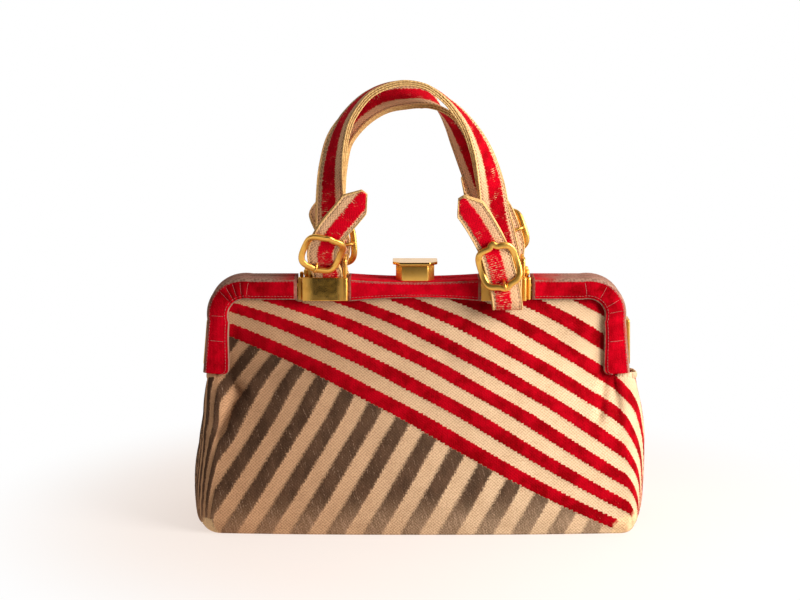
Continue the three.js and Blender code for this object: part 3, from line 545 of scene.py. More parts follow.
@dataclass
class Stations:
    """Places on the frame's outer edge, with the outward direction and the width of the band there."""

    x: Array
    z: Array
    out_x: Array
    out_z: Array
    band: Array
    turn: Array

    @staticmethod
    def joined(*runs: Stations) -> Stations:
        """The stations of several runs, one after the other."""
        names = ("x", "z", "out_x", "out_z", "band", "turn")
        return Stations(*(np.concatenate([getattr(run, name) for run in runs]) for name in names))

    def places(self, share: Array, offset: Array, y: Array, end: End, side: Side) -> Array:
        """Points of a section carried along the stations.

        Args:
            share: how much of the band lies between each section point and the outer edge.
            offset: millimetres outwards that are added to that.
            y: the depth of each section point, for every station or for all.
            end: the end of the bag.
            side: the face of the bag.

        Returns:
            Stations by section points by three.
        """
        depth = offset[None] - share[None] * self.band[:, None]
        x = end.value * (self.x[:, None] + depth * self.out_x[:, None])
        z = self.z[:, None] + depth * self.out_z[:, None]
        return np.stack(np.broadcast_arrays(x, side.value * y, z), axis=-1)


@dataclass(frozen=True)
class FramePath:
    """The frame seen from the front: an upturned U with flared legs and round corners."""

    top: float = 158.8
    foot_x: float = 141.0
    foot_z: float = 97.5
    flare: float = radians(5.5)
    radius: float = 29.0
    leg_band: float = 16.0
    top_band: float = 12.6
    corner_loss: float = 2.5

    @property
    def corner_z(self) -> float:
        """The height of the corner's centre."""
        return self.top - self.radius

    @property
    def leg_length(self) -> float:
        """The length of the straight leg."""
        return (self.corner_z + self.radius * sin(self.flare) - self.foot_z) / cos(self.flare)

    @property
    def corner_x(self) -> float:
        """The distance of the corner's centre from the middle."""
        return self.foot_x - self.radius * cos(self.flare) - self.leg_length * sin(self.flare)

    def leg(self, along: Array) -> Stations:
        """Stations up the leg, a length from its foot."""
        same = np.ones_like(along)
        return Stations(
            self.foot_x - along * sin(self.flare), self.foot_z + along * cos(self.flare),
            same * cos(self.flare), same * sin(self.flare), same * self.leg_band, same * 0.0,
        )

    def corner(self, turn: Array) -> Stations:
        """Stations round the corner, from 0 at the leg to 1 at the top; the band narrows in the middle.

        Args:
            turn: places round the corner.

        Returns:
            The stations.
        """
        angle = self.flare + turn * (pi / 2 - self.flare)
        band = self.leg_band + (self.top_band - self.leg_band) * turn - self.corner_loss * np.sin(pi * turn)
        return Stations(
            self.corner_x + self.radius * np.cos(angle), self.corner_z + self.radius * np.sin(angle),
            np.cos(angle), np.sin(angle), band, turn,
        )

    def bar(self, x: Array) -> Stations:
        """Stations along the straight top."""
        same = np.ones_like(x)
        return Stations(x, same * self.top, same * 0.0, same, same * self.top_band, same)


class Section(NamedTuple):
    """A sleeve's section: where each outer and inner point lies, and its part in tucks and stitching."""

    share: Array
    offset: Array
    y: Array
    inner_offset: Array
    inner_y: Array
    zone: Array
    lift: Array


TUCKS = {End.LEFT: (0.08, 0.5, 0.61, 0.72, 0.84, 0.97), End.RIGHT: (0.16, 0.34, 0.62, 0.97)}


@dataclass
class Sleeve:
    """Velvet sleeves on the two halves of the frame, sewn along both edges and tucked at the corners."""

    path: FramePath
    velvet: bpy.types.Material
    thread: bpy.types.Material
    front: float = 12.5
    wall: float = 2.0
    gap: float = 0.5
    lip: float = 9.2
    outer_round: float = 2.5
    inner_round: float = 1.5
    pillow: float = 0.35
    tuck_height: float = 0.8
    tuck_power: float = 0.7
    tuck_start: float = 0.55
    seam_inset: float = 1.7
    seam_depth: float = 0.4
    seam_width: float = 0.55
    foot_round: float = 3.6
    foot_length: float = 4.0
    corner_fill: float = 2.7
    top_rise: float = 1.5
    top_sink: float = 0.2
    foot_spread: float = 1.4
    leg_waist: float = 1.2
    waist: float = 1.1
    converge: float = 0.15
    bar_end: float = 77.1
    middle_end: float = 43.5
    middle_reach: float = 50.0
    shift: float = -1.4
    seam: Seam = Seam(1.7, 2.125, 0.15)
    edge_zone: float = 1.82
    fold_end: float = 2.86
    leg_line: float = 22.0

    def section(self) -> Section:
        """The section in five zones: top, outer round, front, inner round and lip.

        The rounds are quarter circles, and the front runs straight between them across the band.
        """
        flat_top, across, down = np.linspace(0, 1, 7)[:-1], np.linspace(0, 1, 23)[:-1], np.linspace(0, 1, 4)
        turn, inner_turn = np.linspace(0, pi / 2, 9)[:-1], np.linspace(0, pi / 2, 7)[:-1]
        big, small, wall, front = self.outer_round, self.inner_round, self.wall, self.front
        rest = front - small
        top_y = self.gap + flat_top * (front - big - self.gap)
        tail = np.linspace(0, 1, len(inner_turn) + len(down))
        share = np.concatenate([0 * flat_top, 0 * turn, across, 1 + 0 * inner_turn, 1 + 0 * down])
        offset = np.concatenate([
            0 * flat_top, -big * (1 - np.cos(turn)), -big * (1 - across) + small * across,
            small * (1 - np.sin(inner_turn)), 0 * down,
        ])
        y = np.concatenate([
            top_y, front - big + big * np.sin(turn), front + 0 * across,
            rest + small * np.cos(inner_turn), rest + (self.lip - rest) * down,
        ])
        inner_offset = np.concatenate([
            -wall + 0 * flat_top, -big + (big - wall) * np.cos(turn), -big * (1 - across) + wall * across,
            wall + 0 * tail,
        ])
        inner_y = np.concatenate([
            top_y, front - big + (big - wall) * np.sin(turn),
            front - wall + 0 * across, front - wall + (self.lip - front + wall) * tail,
        ])
        zone = np.concatenate([flat_top, 1 + 2 * turn / pi, 2 + across, 3 + 2 * inner_turn / pi, 4 + down])
        lift = smoothstep(zone, 1.5, 2.2) * (1 - smoothstep(zone, 2.9, 3.6))
        return Section(share, offset, y, inner_offset, inner_y, zone, lift)

    def filled(self, stations: Stations) -> Stations:
        """The cloth's outside: full at the corners, spread at the feet and narrow by the clasp.

        Args:
            stations: the frame's stations.

        Returns:
            The cloth's stations.
        """
        up = smoothstep(stations.z, self.path.foot_z, self.path.corner_z)
        middle = np.clip(1 - (stations.x / self.middle_end) ** 2, 0, 1)
        rise = self.top_rise - (self.top_rise + self.top_sink) * middle
        extra = rise * stations.turn + self.corner_fill * np.sin(pi * stations.turn)
        side = (self.leg_waist + self.foot_spread) * up - self.foot_spread
        by_clasp = (stations.turn == 1) & (stations.x < self.middle_reach)
        narrow = side * (1 - stations.turn) + self.waist * (2 * middle - 1) * by_clasp
        return replace(
            stations, x=stations.x + extra * stations.out_x, z=stations.z + extra * stations.out_z,
            band=stations.band + extra - narrow,
        )

    def side_stations(self, end: End) -> Stations:
        """Stations from the foot of the leg to the bracket, with the foot's inner corner rounded off.

        Args:
            end: the end of the bag.

        Returns:
            The stations.
        """
        foot = np.linspace(0, self.foot_length, 9)[:-1]
        along = np.concatenate([foot, np.linspace(self.foot_length, self.path.leg_length, 20)])
        leg = self.path.leg(along)
        missing = np.clip(1 - along / self.foot_round, 0, 1)
        leg.band = leg.band - self.foot_round * (1 - np.sqrt(1 - missing ** 2))
        corner = self.path.corner(np.linspace(0, 1, 97)[1:])
        bar = self.path.bar(np.linspace(self.path.corner_x, self.bar_end + end.value * self.shift, 16)[1:])
        return Stations.joined(leg, corner, bar)

    def from_seam(self, stations: Stations, section: Section) -> Array:
        """The distance of every point of the front from the seam near the inner edge.

        Args:
            stations: the sleeve's stations.
            section: its section.

        Returns:
            Stations by section points of distances.
        """
        across = np.clip(section.zone - 2, 0, 1)
        flat_band = stations.band - self.outer_round - self.inner_round
        return self.inner_round + (1 - across)[None] * flat_band[:, None] - self.seam_inset

    def heights(self, stations: Stations, section: Section, tucks: Array) -> Array:
        """How far the front of the sleeve stands out at every point.

        A pillow rises across the band, tucks swell in half waves between the stitched lines of a corner, and
        the seam near the inner edge is a soft groove.

        Args:
            stations: the sleeve's stations.
            section: its section.
            tucks: the turns of a corner that have a stitched line.

        Returns:
            Stations by section points of depths.
        """
        across = np.clip(section.zone - 2, 0, 1)
        groove = self.seam_depth * np.exp(-(self.from_seam(stations, section) / self.seam_width) ** 2)
        fan = 0.5 + (stations.turn[:, None] - 0.5) / (1 - self.converge * across[None])
        wave = np.abs(np.sin(pi * np.interp(fan, tucks, np.arange(len(tucks)))))
        swell = self.tuck_height * wave ** self.tuck_power
        spread = self.tuck_start + (1 - self.tuck_start) * across
        lifted = self.pillow * np.sin(pi * across) + swell * spread - groove
        return section.y[None] + lifted * section.lift

    def build(self, name: str, stations: Stations, end: End, side: Side, from_end: Array, node: str) -> None:
        """Makes one sleeve.

        Args:
            name: the piece's name.
            stations: the places that the section is carried along.
            end: the end of the bag that the stations are drawn on.
            side: the face of the bag.
            from_end: the distance of each station from the sleeve's open end at a bracket.
            node: the part's node that the sleeve stands for.
        """
        section, tucks = self.section(), np.array(TUCKS[end])
        inner = stations.places(section.share, section.inner_offset, section.inner_y[None], end, side)
        stations = self.filled(stations)
        raised = self.heights(stations, section, tucks)
        outer = stations.places(section.share, section.offset, raised, end, side)
        flat = np.stack(np.broadcast_arrays(from_end[:, None], section.zone[None]), axis=-1)
        piece = settle(shell(outer, inner, flat).make(name, self.velvet), Slot.RED, node)
        stitching = self.sew(f"{name}_stitching", stations, section, outer, side, tucks)
        f"frame_{side.word}"
        grid_area(outer) * MM ** 2

    def sew(
        self, name: str, stations: Stations, section: Section, outer: Array, side: Side, tucks: Array,
    ) -> bpy.types.Object:
        """Sews both edges with stitches, and lays a thread across the band at each tuck and on the leg.

        Args:
            name: the piece's name.
            stations: the sleeve's stations.
            section: its section.
            outer: the points of its outer face.
            side: the face of the bag.
            tucks: the turns of a corner that have a stitched line.

        Returns:
            The stitching.
        """
        away = np.broadcast_to(np.array([0.0, side.value, 0.0]), (len(outer), 3))
        off_seam = np.where(section.lift > 0.99, np.abs(self.from_seam(stations, section)), np.inf)
        inner_edge = outer[np.arange(len(outer)), np.argmin(off_seam, axis=1)]
        outer_edge = outer[:, np.argmin(np.abs(section.zone - self.edge_zone))]
        runs = [
            self.seam.sewn(running_length(line, 0), line, np.gradient(line, axis=0), away)
            for line in (inner_edge, outer_edge)
        ]
        front = np.flatnonzero((section.zone > 2) & (section.zone < self.fold_end))
        corner = np.flatnonzero((stations.turn > 0) & (stations.turn < 1))
        if len(corner):
            leg = np.argmin(np.abs(running_length(outer[:, front[0]], 0) - self.leg_line))
            threads = [outer[leg, front]]
            columns = outer[corner][:, front]
            for tuck in tucks:
                turns = 0.5 + (tuck - 0.5) * (1 - self.converge * (section.zone[front] - 2))
                threads.append(np.stack([
                    [np.interp(turn, stations.turn[corner], columns[:, k, axis]) for axis in range(3)]
                    for k, turn in enumerate(turns)
                ]))
            runs += [swept(thread, self.seam.radius, 6) for thread in threads]
        return settle(Surface.joined(runs).make(name, self.thread), Slot.RED)

    def build_all(self) -> None:
        """Makes the three sleeves of each half of the frame."""
        middle = self.path.bar(np.linspace(-self.middle_end, self.middle_end, 60) + self.shift)
        from_ends = self.middle_end - np.abs(middle.x - self.shift)
        for side in Side:
            face = side.word
            for end in End:
                where = end.word
                stations = self.side_stations(end)
                run = running_length(np.stack([stations.x, stations.z], axis=1), 0)
                name, node = f"{face}_sleeve_{where}", f"{face}_cover_{where}"
                self.build(name, stations, end, side, run[-1] - run, node)
            self.build(f"{face}_sleeve_middle", middle, End.RIGHT, side, from_ends, f"{face}_cover_mid")


# Body


class StripeCount(NamedTuple):
    """How many stripes a place lies above the first, as a cubic of its place across and up the cloth."""

    level: float
    across: float
    up: float
    across_2: float
    across_up: float
    up_2: float
    across_3: float = 0.0
    across_2_up: float = 0.0
    across_up_2: float = 0.0
    up_3: float = 0.0

    def at(self, across: object, up: object, times_plus: Callable) -> object:
        """Reads the cubic by repeated multiplying and adding.

        Args:
            across: the place across, as an array or a shader socket.
            up: the place up, likewise.
            times_plus: multiplies its first two values and adds the third.

        Returns:
            The count, as an array or a socket.
        """
        base = times_plus(up, times_plus(up, times_plus(up, self.up_3, self.up_2), self.up), self.level)
        slope = times_plus(up, times_plus(up, self.across_up_2, self.across_up), self.across)
        curve = times_plus(up, self.across_2_up, self.across_2)
        return times_plus(across, times_plus(across, times_plus(across, self.across_3, curve), slope), base)


@dataclass(frozen=True)
class StripePattern:
    """The cloth's pattern: red stripes fall to the right, and below them grey ones rise to the right.

    Places are in units of wide and tall, from the cloth's middle line and from tall above the base.
    """

    wide: float = 100.0
    tall: float = 75.0
    red: StripeCount = StripeCount(0.08, 2.52, 3.2, 0.54, 0.84, 0.37, -0.07, -0.46, -0.79, 0.23)
    grey: StripeCount = StripeCount(1.5, -4.3, 1.93, 0.17, -0.19, 0.19, -0.1, 0.22, -0.04, 0.08)
    half: float = 0.25
    soft: float = 0.03
    red_reach: float = 1.6

    def pile(self, u: Array, v: Array) -> Array:
        """How much pile stands at a place in millimetres, from 0 on the bare weave to 1.

        Stripes are counted from the lowest red one, and a place is in a stripe within a quarter of the pitch
        of its middle. Below the lowest red stripe the grey ones count instead.

        Args:
            u: places across the cloth.
            v: places up the cloth.

        Returns:
            The share at each place.
        """
        across, up = u / self.wide, v / self.tall - 1
        inside = np.maximum(across, -self.red_reach)
        red, grey = (
            stripes.at(place, up, lambda a, b, c: a * b + c)
            for stripes, place in ((self.red, inside), (self.grey, across))
        )
        count = np.where(red > -self.half, red, grey)
        away = np.abs(count - np.round(count))
        return 1 - smoothstep(away, self.half - self.soft, self.half + self.soft)


class Dent(NamedTuple):
    """A soft valley in a wall along a straight line."""

    x0: float
    z0: float
    x1: float
    z1: float
    width: float
    depth: float


class BodySection(NamedTuple):
    """The body at one height: side seam, rounded corner, middle of the face, and each end's own width."""

    z: float
    half_width: float
    corner_x: float
    half_depth: float
    corner_depth: float
    left_extra: float
    right_extra: float


BODY_SECTIONS = (
    BodySection(0.2, 144.2, 129.0, 57.0, 53.2, 2.5, -1.0),
    BodySection(4.0, 147.8, 131.5, 57.3, 53.8, 1.0, -4.0),
    BodySection(10.0, 149.8, 133.5, 57.8, 54.2, 0.0, -4.5),
    BodySection(25.0, 150.2, 133.5, 57.0, 51.0, 0.0, -2.8),
    BodySection(50.0, 147.8, 132.0, 50.5, 40.5, 1.0, 1.0),
    BodySection(76.0, 144.3, 131.0, 41.0, 24.5, 2.8, 3.6),
    BodySection(95.4, 142.0, 131.0, 31.5, 8.7, 0.5, 5.0),
)
UPPER_HEIGHTS = (95.4, 115.0, 130.0, 140.0, 144.5, 160.0)
UPPER_DEPTHS = (31.5, 23.0, 16.0, 10.8, 8.7, 8.7)
DENTS = {
    Side.FRONT: (
        Dent(-126, 96, -116, 86, 3.6, 3.4),
        Dent(-118, 86, -133, 61, 4.2, 4.6),
        Dent(125, 94, 116, 71, 3.0, 3.2),
        Dent(130, 92, 129, 74, 3.5, 2.6),
        Dent(-62, 138, 18, 110, 10, 2.4),
        Dent(32, 136, 92, 116, 10, 2.2),
    ),
    Side.BACK: (
        Dent(121, 92, 132, 54, 9, 4.5),
        Dent(-50, 136, 40, 112, 11, 2.0),
    ),
}


@dataclass
class WallRows:
    """Level rows of a wall, each a column of numbers: its height and the sizes of the body there."""

    z: Array
    corner_x: Array
    corner_depth: Array
    half_depth: Array
    half_width: Array
    left_extra: Array
    right_extra: Array
    shift: Array
    lower: int


@dataclass
class WallCloth:
    """A cloth wall: a face that bulges between the frame and the base, and wings round its corners."""

    side: Side
    path: FramePath
    pattern: StripePattern
    velvet: bpy.types.Material
    hem_cloth: bpy.types.Material
    wall: float = 1.8
    tuck: float = 6.0
    cloth_front: float = 8.7
    seam_gap: float = 0.2
    body_shift: float = 3.0
    face_power: float = 2.4
    left_pinch: float = 9.0
    right_pinch: float = 2.5
    corner_pull: float = 0.55
    seam_pull: float = 0.6
    pile_height: float = 0.55
    face_columns: int = 237
    wing_columns: int = 44
    body_rows: int = 90
    leg_rows: int = 30
    corner_rows: int = 26
    shift_fade: Pair = (70.0, 96.0)
    tuck_rise: Pair = (55.0, 94.0)
    hold_rise: Pair = (88.0, 96.0)
    pinch_rise: Pair = (30.0, 96.0)
    plain_rise: Pair = (80.0, 94.0)
    plain_edge: Pair = (9.0, 13.0)
    plain_top: Pair = (142.0, 145.0)
    plain_base: Pair = (1.0, 5.0)
    wave: float = 0.35
    hem_radius: float = 0.9
    hem_height: float = 2.4
    hem_out: float = 0.3
    hem_over: float = 1.1
    hem_gap: int = 2
    left_gather: Pair = (2.0, 4.0)
    right_gather: Pair = (1.2, 3.2)
    gather_top: float = 95.4
    kink: float = 3.0
    kink_place: Pair = (-128.0, 70.0)
    kink_size: Pair = (13.0, 9.0)

    def rows(self) -> WallRows:
        """The wall's rows: body sections below the legs' feet, then rows along the frame's inner edge."""
        low = np.linspace(BODY_SECTIONS[0].z, BODY_SECTIONS[-1].z, self.body_rows)
        heights = [section.z for section in BODY_SECTIONS]
        body = {
            name: read_smoothly(heights, [getattr(section, name) for section in BODY_SECTIONS], low)
            for name in ("corner_x", "corner_depth", "half_depth", "half_width", "left_extra", "right_extra")
        }
        up = Stations.joined(
            self.path.leg(np.linspace(0, self.path.leg_length, self.leg_rows + 1)[1:]),
            self.path.corner(np.linspace(0, 1, self.corner_rows + 1)[1:]),
        )
        inset = up.band - self.tuck
        x, z = up.x - inset * up.out_x, up.z - inset * up.out_z
        none = np.zeros_like(z)
        shift = self.body_shift * (1 - smoothstep(low, *self.shift_fade))
        pairs = (
            (low, z), (body["corner_x"], x), (body["corner_depth"], none + self.cloth_front),
            (body["half_depth"], read_smoothly(UPPER_HEIGHTS, UPPER_DEPTHS, z)), (body["half_width"], none),
            (body["left_extra"], none), (body["right_extra"], none), (shift, none),
        )
        return WallRows(*(np.concatenate(pair)[:, None] for pair in pairs), lower=len(low))

    def dents(self, x: Array, z: Array) -> Array:
        """The depth of the valleys at a place: a bell curve of the distance from each valley's line.

        Args:
            x: places across the bag.
            z: their heights.

        Returns:
            The depth at each place.
        """
        depth = np.zeros(np.broadcast(x, z).shape)
        for dent in DENTS[self.side]:
            run = np.array([dent.x1 - dent.x0, dent.z1 - dent.z0])
            along = np.clip(((x - dent.x0) * run[0] + (z - dent.z0) * run[1]) / (run @ run), 0, 1)
            away = np.hypot(x - dent.x0 - along * run[0], z - dent.z0 - along * run[1]) / dent.width
            depth = depth + dent.depth * np.exp(-away ** 2)
        return depth

    def face(self, rows: WallRows) -> Array:
        """The face, with columns at shares of the corner's distance from the middle.

        It stands out by the corner's depth and a bulge of one less the share to a power, less the dents.
        Where it is tucked into the frame it lies flat at the edge.

        Args:
            rows: the wall's rows.

        Returns:
            Rows by columns of points.
        """
        share = np.linspace(-1, 1, self.face_columns)[None]
        edge = 1 - (self.tuck + 1) / rows.corner_x
        reach = 1 + (edge - 1) * smoothstep(rows.z, *self.tuck_rise)
        bulge = 1 - np.minimum(1, np.abs(share) / reach) ** self.face_power
        x = rows.corner_x * share
        depth = rows.corner_depth + (rows.half_depth - rows.corner_depth) * bulge
        held = smoothstep(rows.z, *self.hold_rise)
        free = 1 - held + held * np.minimum(1, 6 * bulge)
        depth = depth - free * self.dents(-self.side.value * x, rows.z)
        return np.stack(np.broadcast_arrays(x, depth, rows.z), axis=-1)

    def wing(self, rows: WallRows, way: int) -> Array:
        """A wing, on a cubic curve from the corner to the side seam, which folds in near the top.

        Args:
            rows: the wall's rows.
            way: the wing's end, -1 or 1 along X before the wall is turned.

        Returns:
            Rows by columns of points.
        """
        t = np.linspace(0, 1, self.wing_columns + 1)[None, 1:]
        bulge = rows.half_depth - rows.corner_depth
        slope = (1 - smoothstep(rows.z, *self.tuck_rise)) * self.face_power * bulge / rows.corner_x
        is_left = way == self.side.value
        pinch = (self.left_pinch if is_left else self.right_pinch) * smoothstep(rows.z, *self.pinch_rise)
        width = rows.half_width + (rows.left_extra if is_left else rows.right_extra)
        pull = self.corner_pull * (width - rows.corner_x)
        weights = ((1 - t) ** 3, 3 * (1 - t) ** 2 * t, 3 * (1 - t) * t ** 2, t ** 3)
        along = (rows.corner_x, rows.corner_x + pull, width, width - pinch)
        corner = rows.corner_depth
        deep = (corner, corner - slope * pull, self.seam_pull * corner, self.seam_gap)
        x = way * sum(weight * place for weight, place in zip(weights, along))
        depth = sum(weight * place for weight, place in zip(weights, deep))
        free = (1 - t) * (1 - smoothstep(rows.z, *self.hold_rise))
        dent = free * self.dents(-self.side.value * x, rows.z)
        depth = np.maximum(self.seam_gap, depth - dent * np.minimum(1, depth / self.cloth_front))
        return np.stack(np.broadcast_arrays(x, depth, rows.z), axis=-1)

    def grid(self, rows: WallRows) -> Array:
        """Rows by columns of points, seen by someone who faces this wall from left to right.

        Above the legs' feet the wings' points only carry on the wings' last row, and get no faces.

        Args:
            rows: the wall's rows.

        Returns:
            Rows by columns of points.
        """
        face = self.face(rows)
        parts = []
        for way in (-1, 1):
            wing = self.wing(rows, way)
            corner = face[:, :1] if way < 0 else face[:, -1:]
            last = rows.lower - 1
            wing[rows.lower:] = wing[last] + (corner[rows.lower:] - corner[last])
            parts.append(wing)
        local = np.concatenate([parts[0][:, ::-1], face, parts[1]], axis=1)
        x = -self.side.value * local[..., 0] + rows.shift
        return np.stack([x, self.side.value * local[..., 1], local[..., 2]], axis=-1)

    def flat(self, rows: WallRows, grid: Array) -> Array:
        """The pattern's places: the width across the face and round the wings, and the length up the middle.

        The cloth is gathered at the wings, more so towards the base, so more of the pattern lies there. Near
        the left crease the pattern is pushed one way above the fold and the other way below it.

        Args:
            rows: the wall's rows.
            grid: its points.

        Returns:
            Rows by columns of places across and up.
        """
        wing = self.wing_columns
        face = rows.corner_x * np.linspace(-1, 1, self.face_columns)[None]
        low = np.clip(1 - rows.z / self.gather_top, 0, 1)
        left, right = (top + (base - top) * low for top, base in (self.left_gather, self.right_gather))
        left = left * running_length(grid[:, wing::-1], 1)[:, :0:-1]
        right = right * running_length(grid[:, -wing - 1:], 1)[:, 1:]
        across = np.concatenate([face[:, :1] - left, face, face[:, -1:] + right], axis=1)
        (kink_x, kink_z), (kink_width, kink_height) = self.kink_place, self.kink_size
        fold = (rows.z - kink_z) / kink_height
        near = np.exp(-((-self.side.value * grid[..., 0] - kink_x) / kink_width) ** 2)
        across = -self.side.value * (across + self.kink * near * fold * np.exp(0.5 - 0.5 * fold ** 2))
        up = running_length(grid[:, grid.shape[1] // 2, None], 0)
        return np.stack(np.broadcast_arrays(across, up), axis=-1)

    def relief(self, rows: WallRows, flat: Array) -> Array:
        """The pile's height and a slow waviness, both gone where the cloth is tucked into the frame.

        Args:
            rows: the wall's rows.
            flat: the pattern's places.

        Returns:
            The height at every point.
        """
        share = np.zeros(flat.shape[1])
        share[self.wing_columns:-self.wing_columns] = np.linspace(-1, 1, self.face_columns)
        inset = (1 - np.abs(share))[None] * rows.corner_x
        free = 1 - smoothstep(rows.z, *self.plain_rise) * (1 - smoothstep(inset, *self.plain_edge))
        free = free * (1 - smoothstep(rows.z, *self.plain_top)) * smoothstep(rows.z, *self.plain_base)
        u, v = flat[..., 0], flat[..., 1]
        wavy = np.sin(u / 11 + 0.7 * np.sin(v / 17)) * np.sin(v / 13 + 1.3 * np.sin(u / 31))
        return free * (self.pile_height * self.pattern.pile(u, v) + self.wave * wavy)

    def build(self) -> None:
        rows = self.rows()
        grid = self.grid(rows)
        flat = self.flat(rows, grid)
        out = unit(np.cross(np.gradient(grid, axis=1), np.gradient(grid, axis=0)))
        outer = grid + self.relief(rows, flat)[..., None] * out
        inner = grid - self.wall * out
        inner[..., 1] = self.side.value * np.maximum(self.seam_gap, self.side.value * inner[..., 1])
        cells = np.zeros((grid.shape[0] - 1, grid.shape[1] - 1), bool)
        cells[: rows.lower - 1] = True
        cells[:, self.wing_columns: -self.wing_columns] = True
        face = self.side.word
        piece = shell(outer, inner, flat, cells).make(f"velvet_wall_{face}", self.velvet)
        settle(piece, Slot.STRIPED, f"{face}_panel")
        hem = self.hem(outer[rows.lower - 1], out[rows.lower - 1]).make(f"hem_{face}", self.hem_cloth)
        settle(hem, Slot.STRIPED)

    def hem(self, line: Array, out: Array) -> Surface:
        """Turned hems along the tops of the two wings, flat rolls with oval sections just below the edge.

        Args:
            line: the wall's points there.
            out: the way out of the wall.

        Returns:
            Both hems.
        """
        angle = np.linspace(0, 2 * pi, 20, endpoint=False)[None, :, None]
        up = np.array([0.0, 0.0, 1.0])
        rolls = []
        count = self.wing_columns - self.hem_gap
        for columns in (slice(0, count), slice(-count, None)):
            away = out[columns]
            middle = line[columns] + self.hem_out * away + (self.hem_over - self.hem_height) * up
            oval = self.hem_radius * np.cos(angle) * away[:, None] + self.hem_height * np.sin(angle) * up
            rolls.append(tube(middle[:, None] + oval))
        return Surface.joined(rolls)


@dataclass
class BasePanel:
    """The flat bottom, inside the lower edges of the two walls."""

    walls: tuple[WallCloth, WallCloth]
    cloth: bpy.types.Material
    wall: float = 2.4
    inset: float = 1.5
    bevel: float = 0.8
    every: int = 3

    def build(self) -> None:
        """Makes the bottom from every few points of the walls' lowest rows, drawn in by the inset."""
        outline = np.concatenate([wall.grid(wall.rows())[0, ::self.every, :2] for wall in self.walls])
        ahead = unit(np.roll(outline, -1, axis=0) - np.roll(outline, 1, axis=0))
        inward = np.stack([-ahead[:, 1], ahead[:, 0]], axis=1)
        edge = outline + self.inset * inward
        piece = plate(edge, 0.0, self.wall, self.bevel).make("base_cloth", self.cloth, 40)
        settle(piece, Slot.BASE, "base_panel")
        size, after = np.ptp(edge, axis=0) * MM, np.roll(edge, -1, axis=0)
        area = 0.5 * abs(float((edge[:, 0] * after[:, 1] - edge[:, 1] * after[:, 0]).sum())) * MM ** 2
        log.info("%s cut from %.3f by %.3f m", piece.name, *size)


# Handles


class StrapRow(NamedTuple):
    """A place that a strap passes through; roll 0 lies flat against the bag's face and 90 shows its edge."""

    x: float
    y: float
    z: float
    roll: float = 0.0


class HandleRoute(NamedTuple):
    """A handle from the tip of its left tail to that of its right one, with the rows of its two buckles."""

    left_tail: tuple[StrapRow, ...]
    arch: tuple[StrapRow, ...]
    right_tail: tuple[StrapRow, ...]
    right_turn: float
    left_buckle: int
    right_buckle: int
    left_skew: float = 0.0
    left_lift: float = 0.0
    left_bumps: float = 1.0


def strap_rows(*rows: tuple[float, ...]) -> tuple[StrapRow, ...]:
    """The rows of one run of a strap."""
    return tuple(StrapRow(*row) for row in rows)


ROUTES = {
    Side.FRONT: HandleRoute(
        left_tail=strap_rows(
            (-33.5, -33.0, 219.6), (-44.5, -31.5, 206.0), (-55.6, -28.0, 192.4),
            (-61.2, -21.6, 180.2), (-60.0, -13.4, 168.6),
        ),
        arch=strap_rows(
            (-57.8, -4.2, 177.0, 0), (-56.2, -6.0, 192.0, 4), (-55.8, -7.5, 211.3, 20),
            (-54.4, -9.0, 231.2, 40), (-50.2, -10.8, 251.8, 58), (-43.4, -12.0, 266.8, 73),
            (-29.4, -12.0, 281.2, 88), (-10.9, -12.0, 287.4, 94), (5.8, -12.0, 285.0, 94),
            (20.0, -12.0, 275.2, 88), (32.0, -11.5, 261.6, 73), (41.2, -10.5, 244.2, 52),
            (47.6, -9.0, 222.4, 28), (51.4, -7.5, 201.6, 10), (55.4, -5.5, 186.0, 2),
            (58.0, -3.6, 174.0, 0),
        ),
        right_tail=strap_rows(
            (58.5, -10.9, 162.4), (58.6, -13.8, 165.4), (58.6, -16.9, 161.0),
            (58.4, -17.3, 153.8), (58.6, -16.9, 146.2), (59.2, -19.6, 142.6),
            (58.8, -22.4, 146.6), (56.6, -22.6, 158.4), (53.0, -26.0, 171.0),
            (48.6, -24.4, 183.4), (38.6, -29.5, 201.6), (28.2, -35.0, 216.4),
        ),
        right_turn=110, left_buckle=3, right_buckle=8, left_skew=12, left_lift=1.6, left_bumps=0.35,
    ),
    Side.BACK: HandleRoute(
        left_tail=strap_rows(
            (-62.6, 27.5, 208.0), (-62.2, 21.5, 199.5), (-57.6, 14.8, 190.0),
            (-53.6, 16.5, 178.6), (-56.0, 13.5, 167.4),
        ),
        arch=strap_rows(
            (-58.0, 4.2, 177.0, 0), (-57.2, 6.0, 193.0, 4), (-56.6, 7.5, 212.0, 12),
            (-55.0, 9.0, 231.0, 24), (-50.0, 10.0, 250.0, 35), (-37.6, 10.0, 264.8, 42),
            (-22.6, 10.0, 274.2, 44), (-8.0, 10.0, 277.0, 48), (5.4, 10.0, 276.2, 60),
            (14.6, 10.0, 270.2, 92), (22.6, 10.0, 261.6, 114), (29.8, 9.8, 247.0, 129),
            (37.0, 9.2, 230.6, 142), (43.2, 8.0, 215.6, 153), (50.0, 6.4, 198.6, 170),
            (56.0, 4.8, 183.0, 179), (58.3, 3.6, 173.0, 180),
        ),
        right_tail=strap_rows(
            (60.0, 13.2, 168.0), (62.4, 14.8, 176.4), (60.2, 17.8, 186.6),
            (53.6, 16.0, 201.8), (43.0, 21.0, 213.6), (31.5, 27.0, 223.5),
        ),
        right_turn=180, left_buckle=3, right_buckle=2,
    ),
}


class StrapStation(NamedTuple):
    """A strap's places and axes: along it, across it and out of its face."""

    place: Array
    along: Array
    across: Array
    out: Array


@dataclass(frozen=True)
class PinPlace:
    """Where the pins lie that the handles fold round."""

    x: float = 58.5
    y: float = 6.4
    z: float = 163.5
    radius: float = 1.5
    fit: float = 0.3


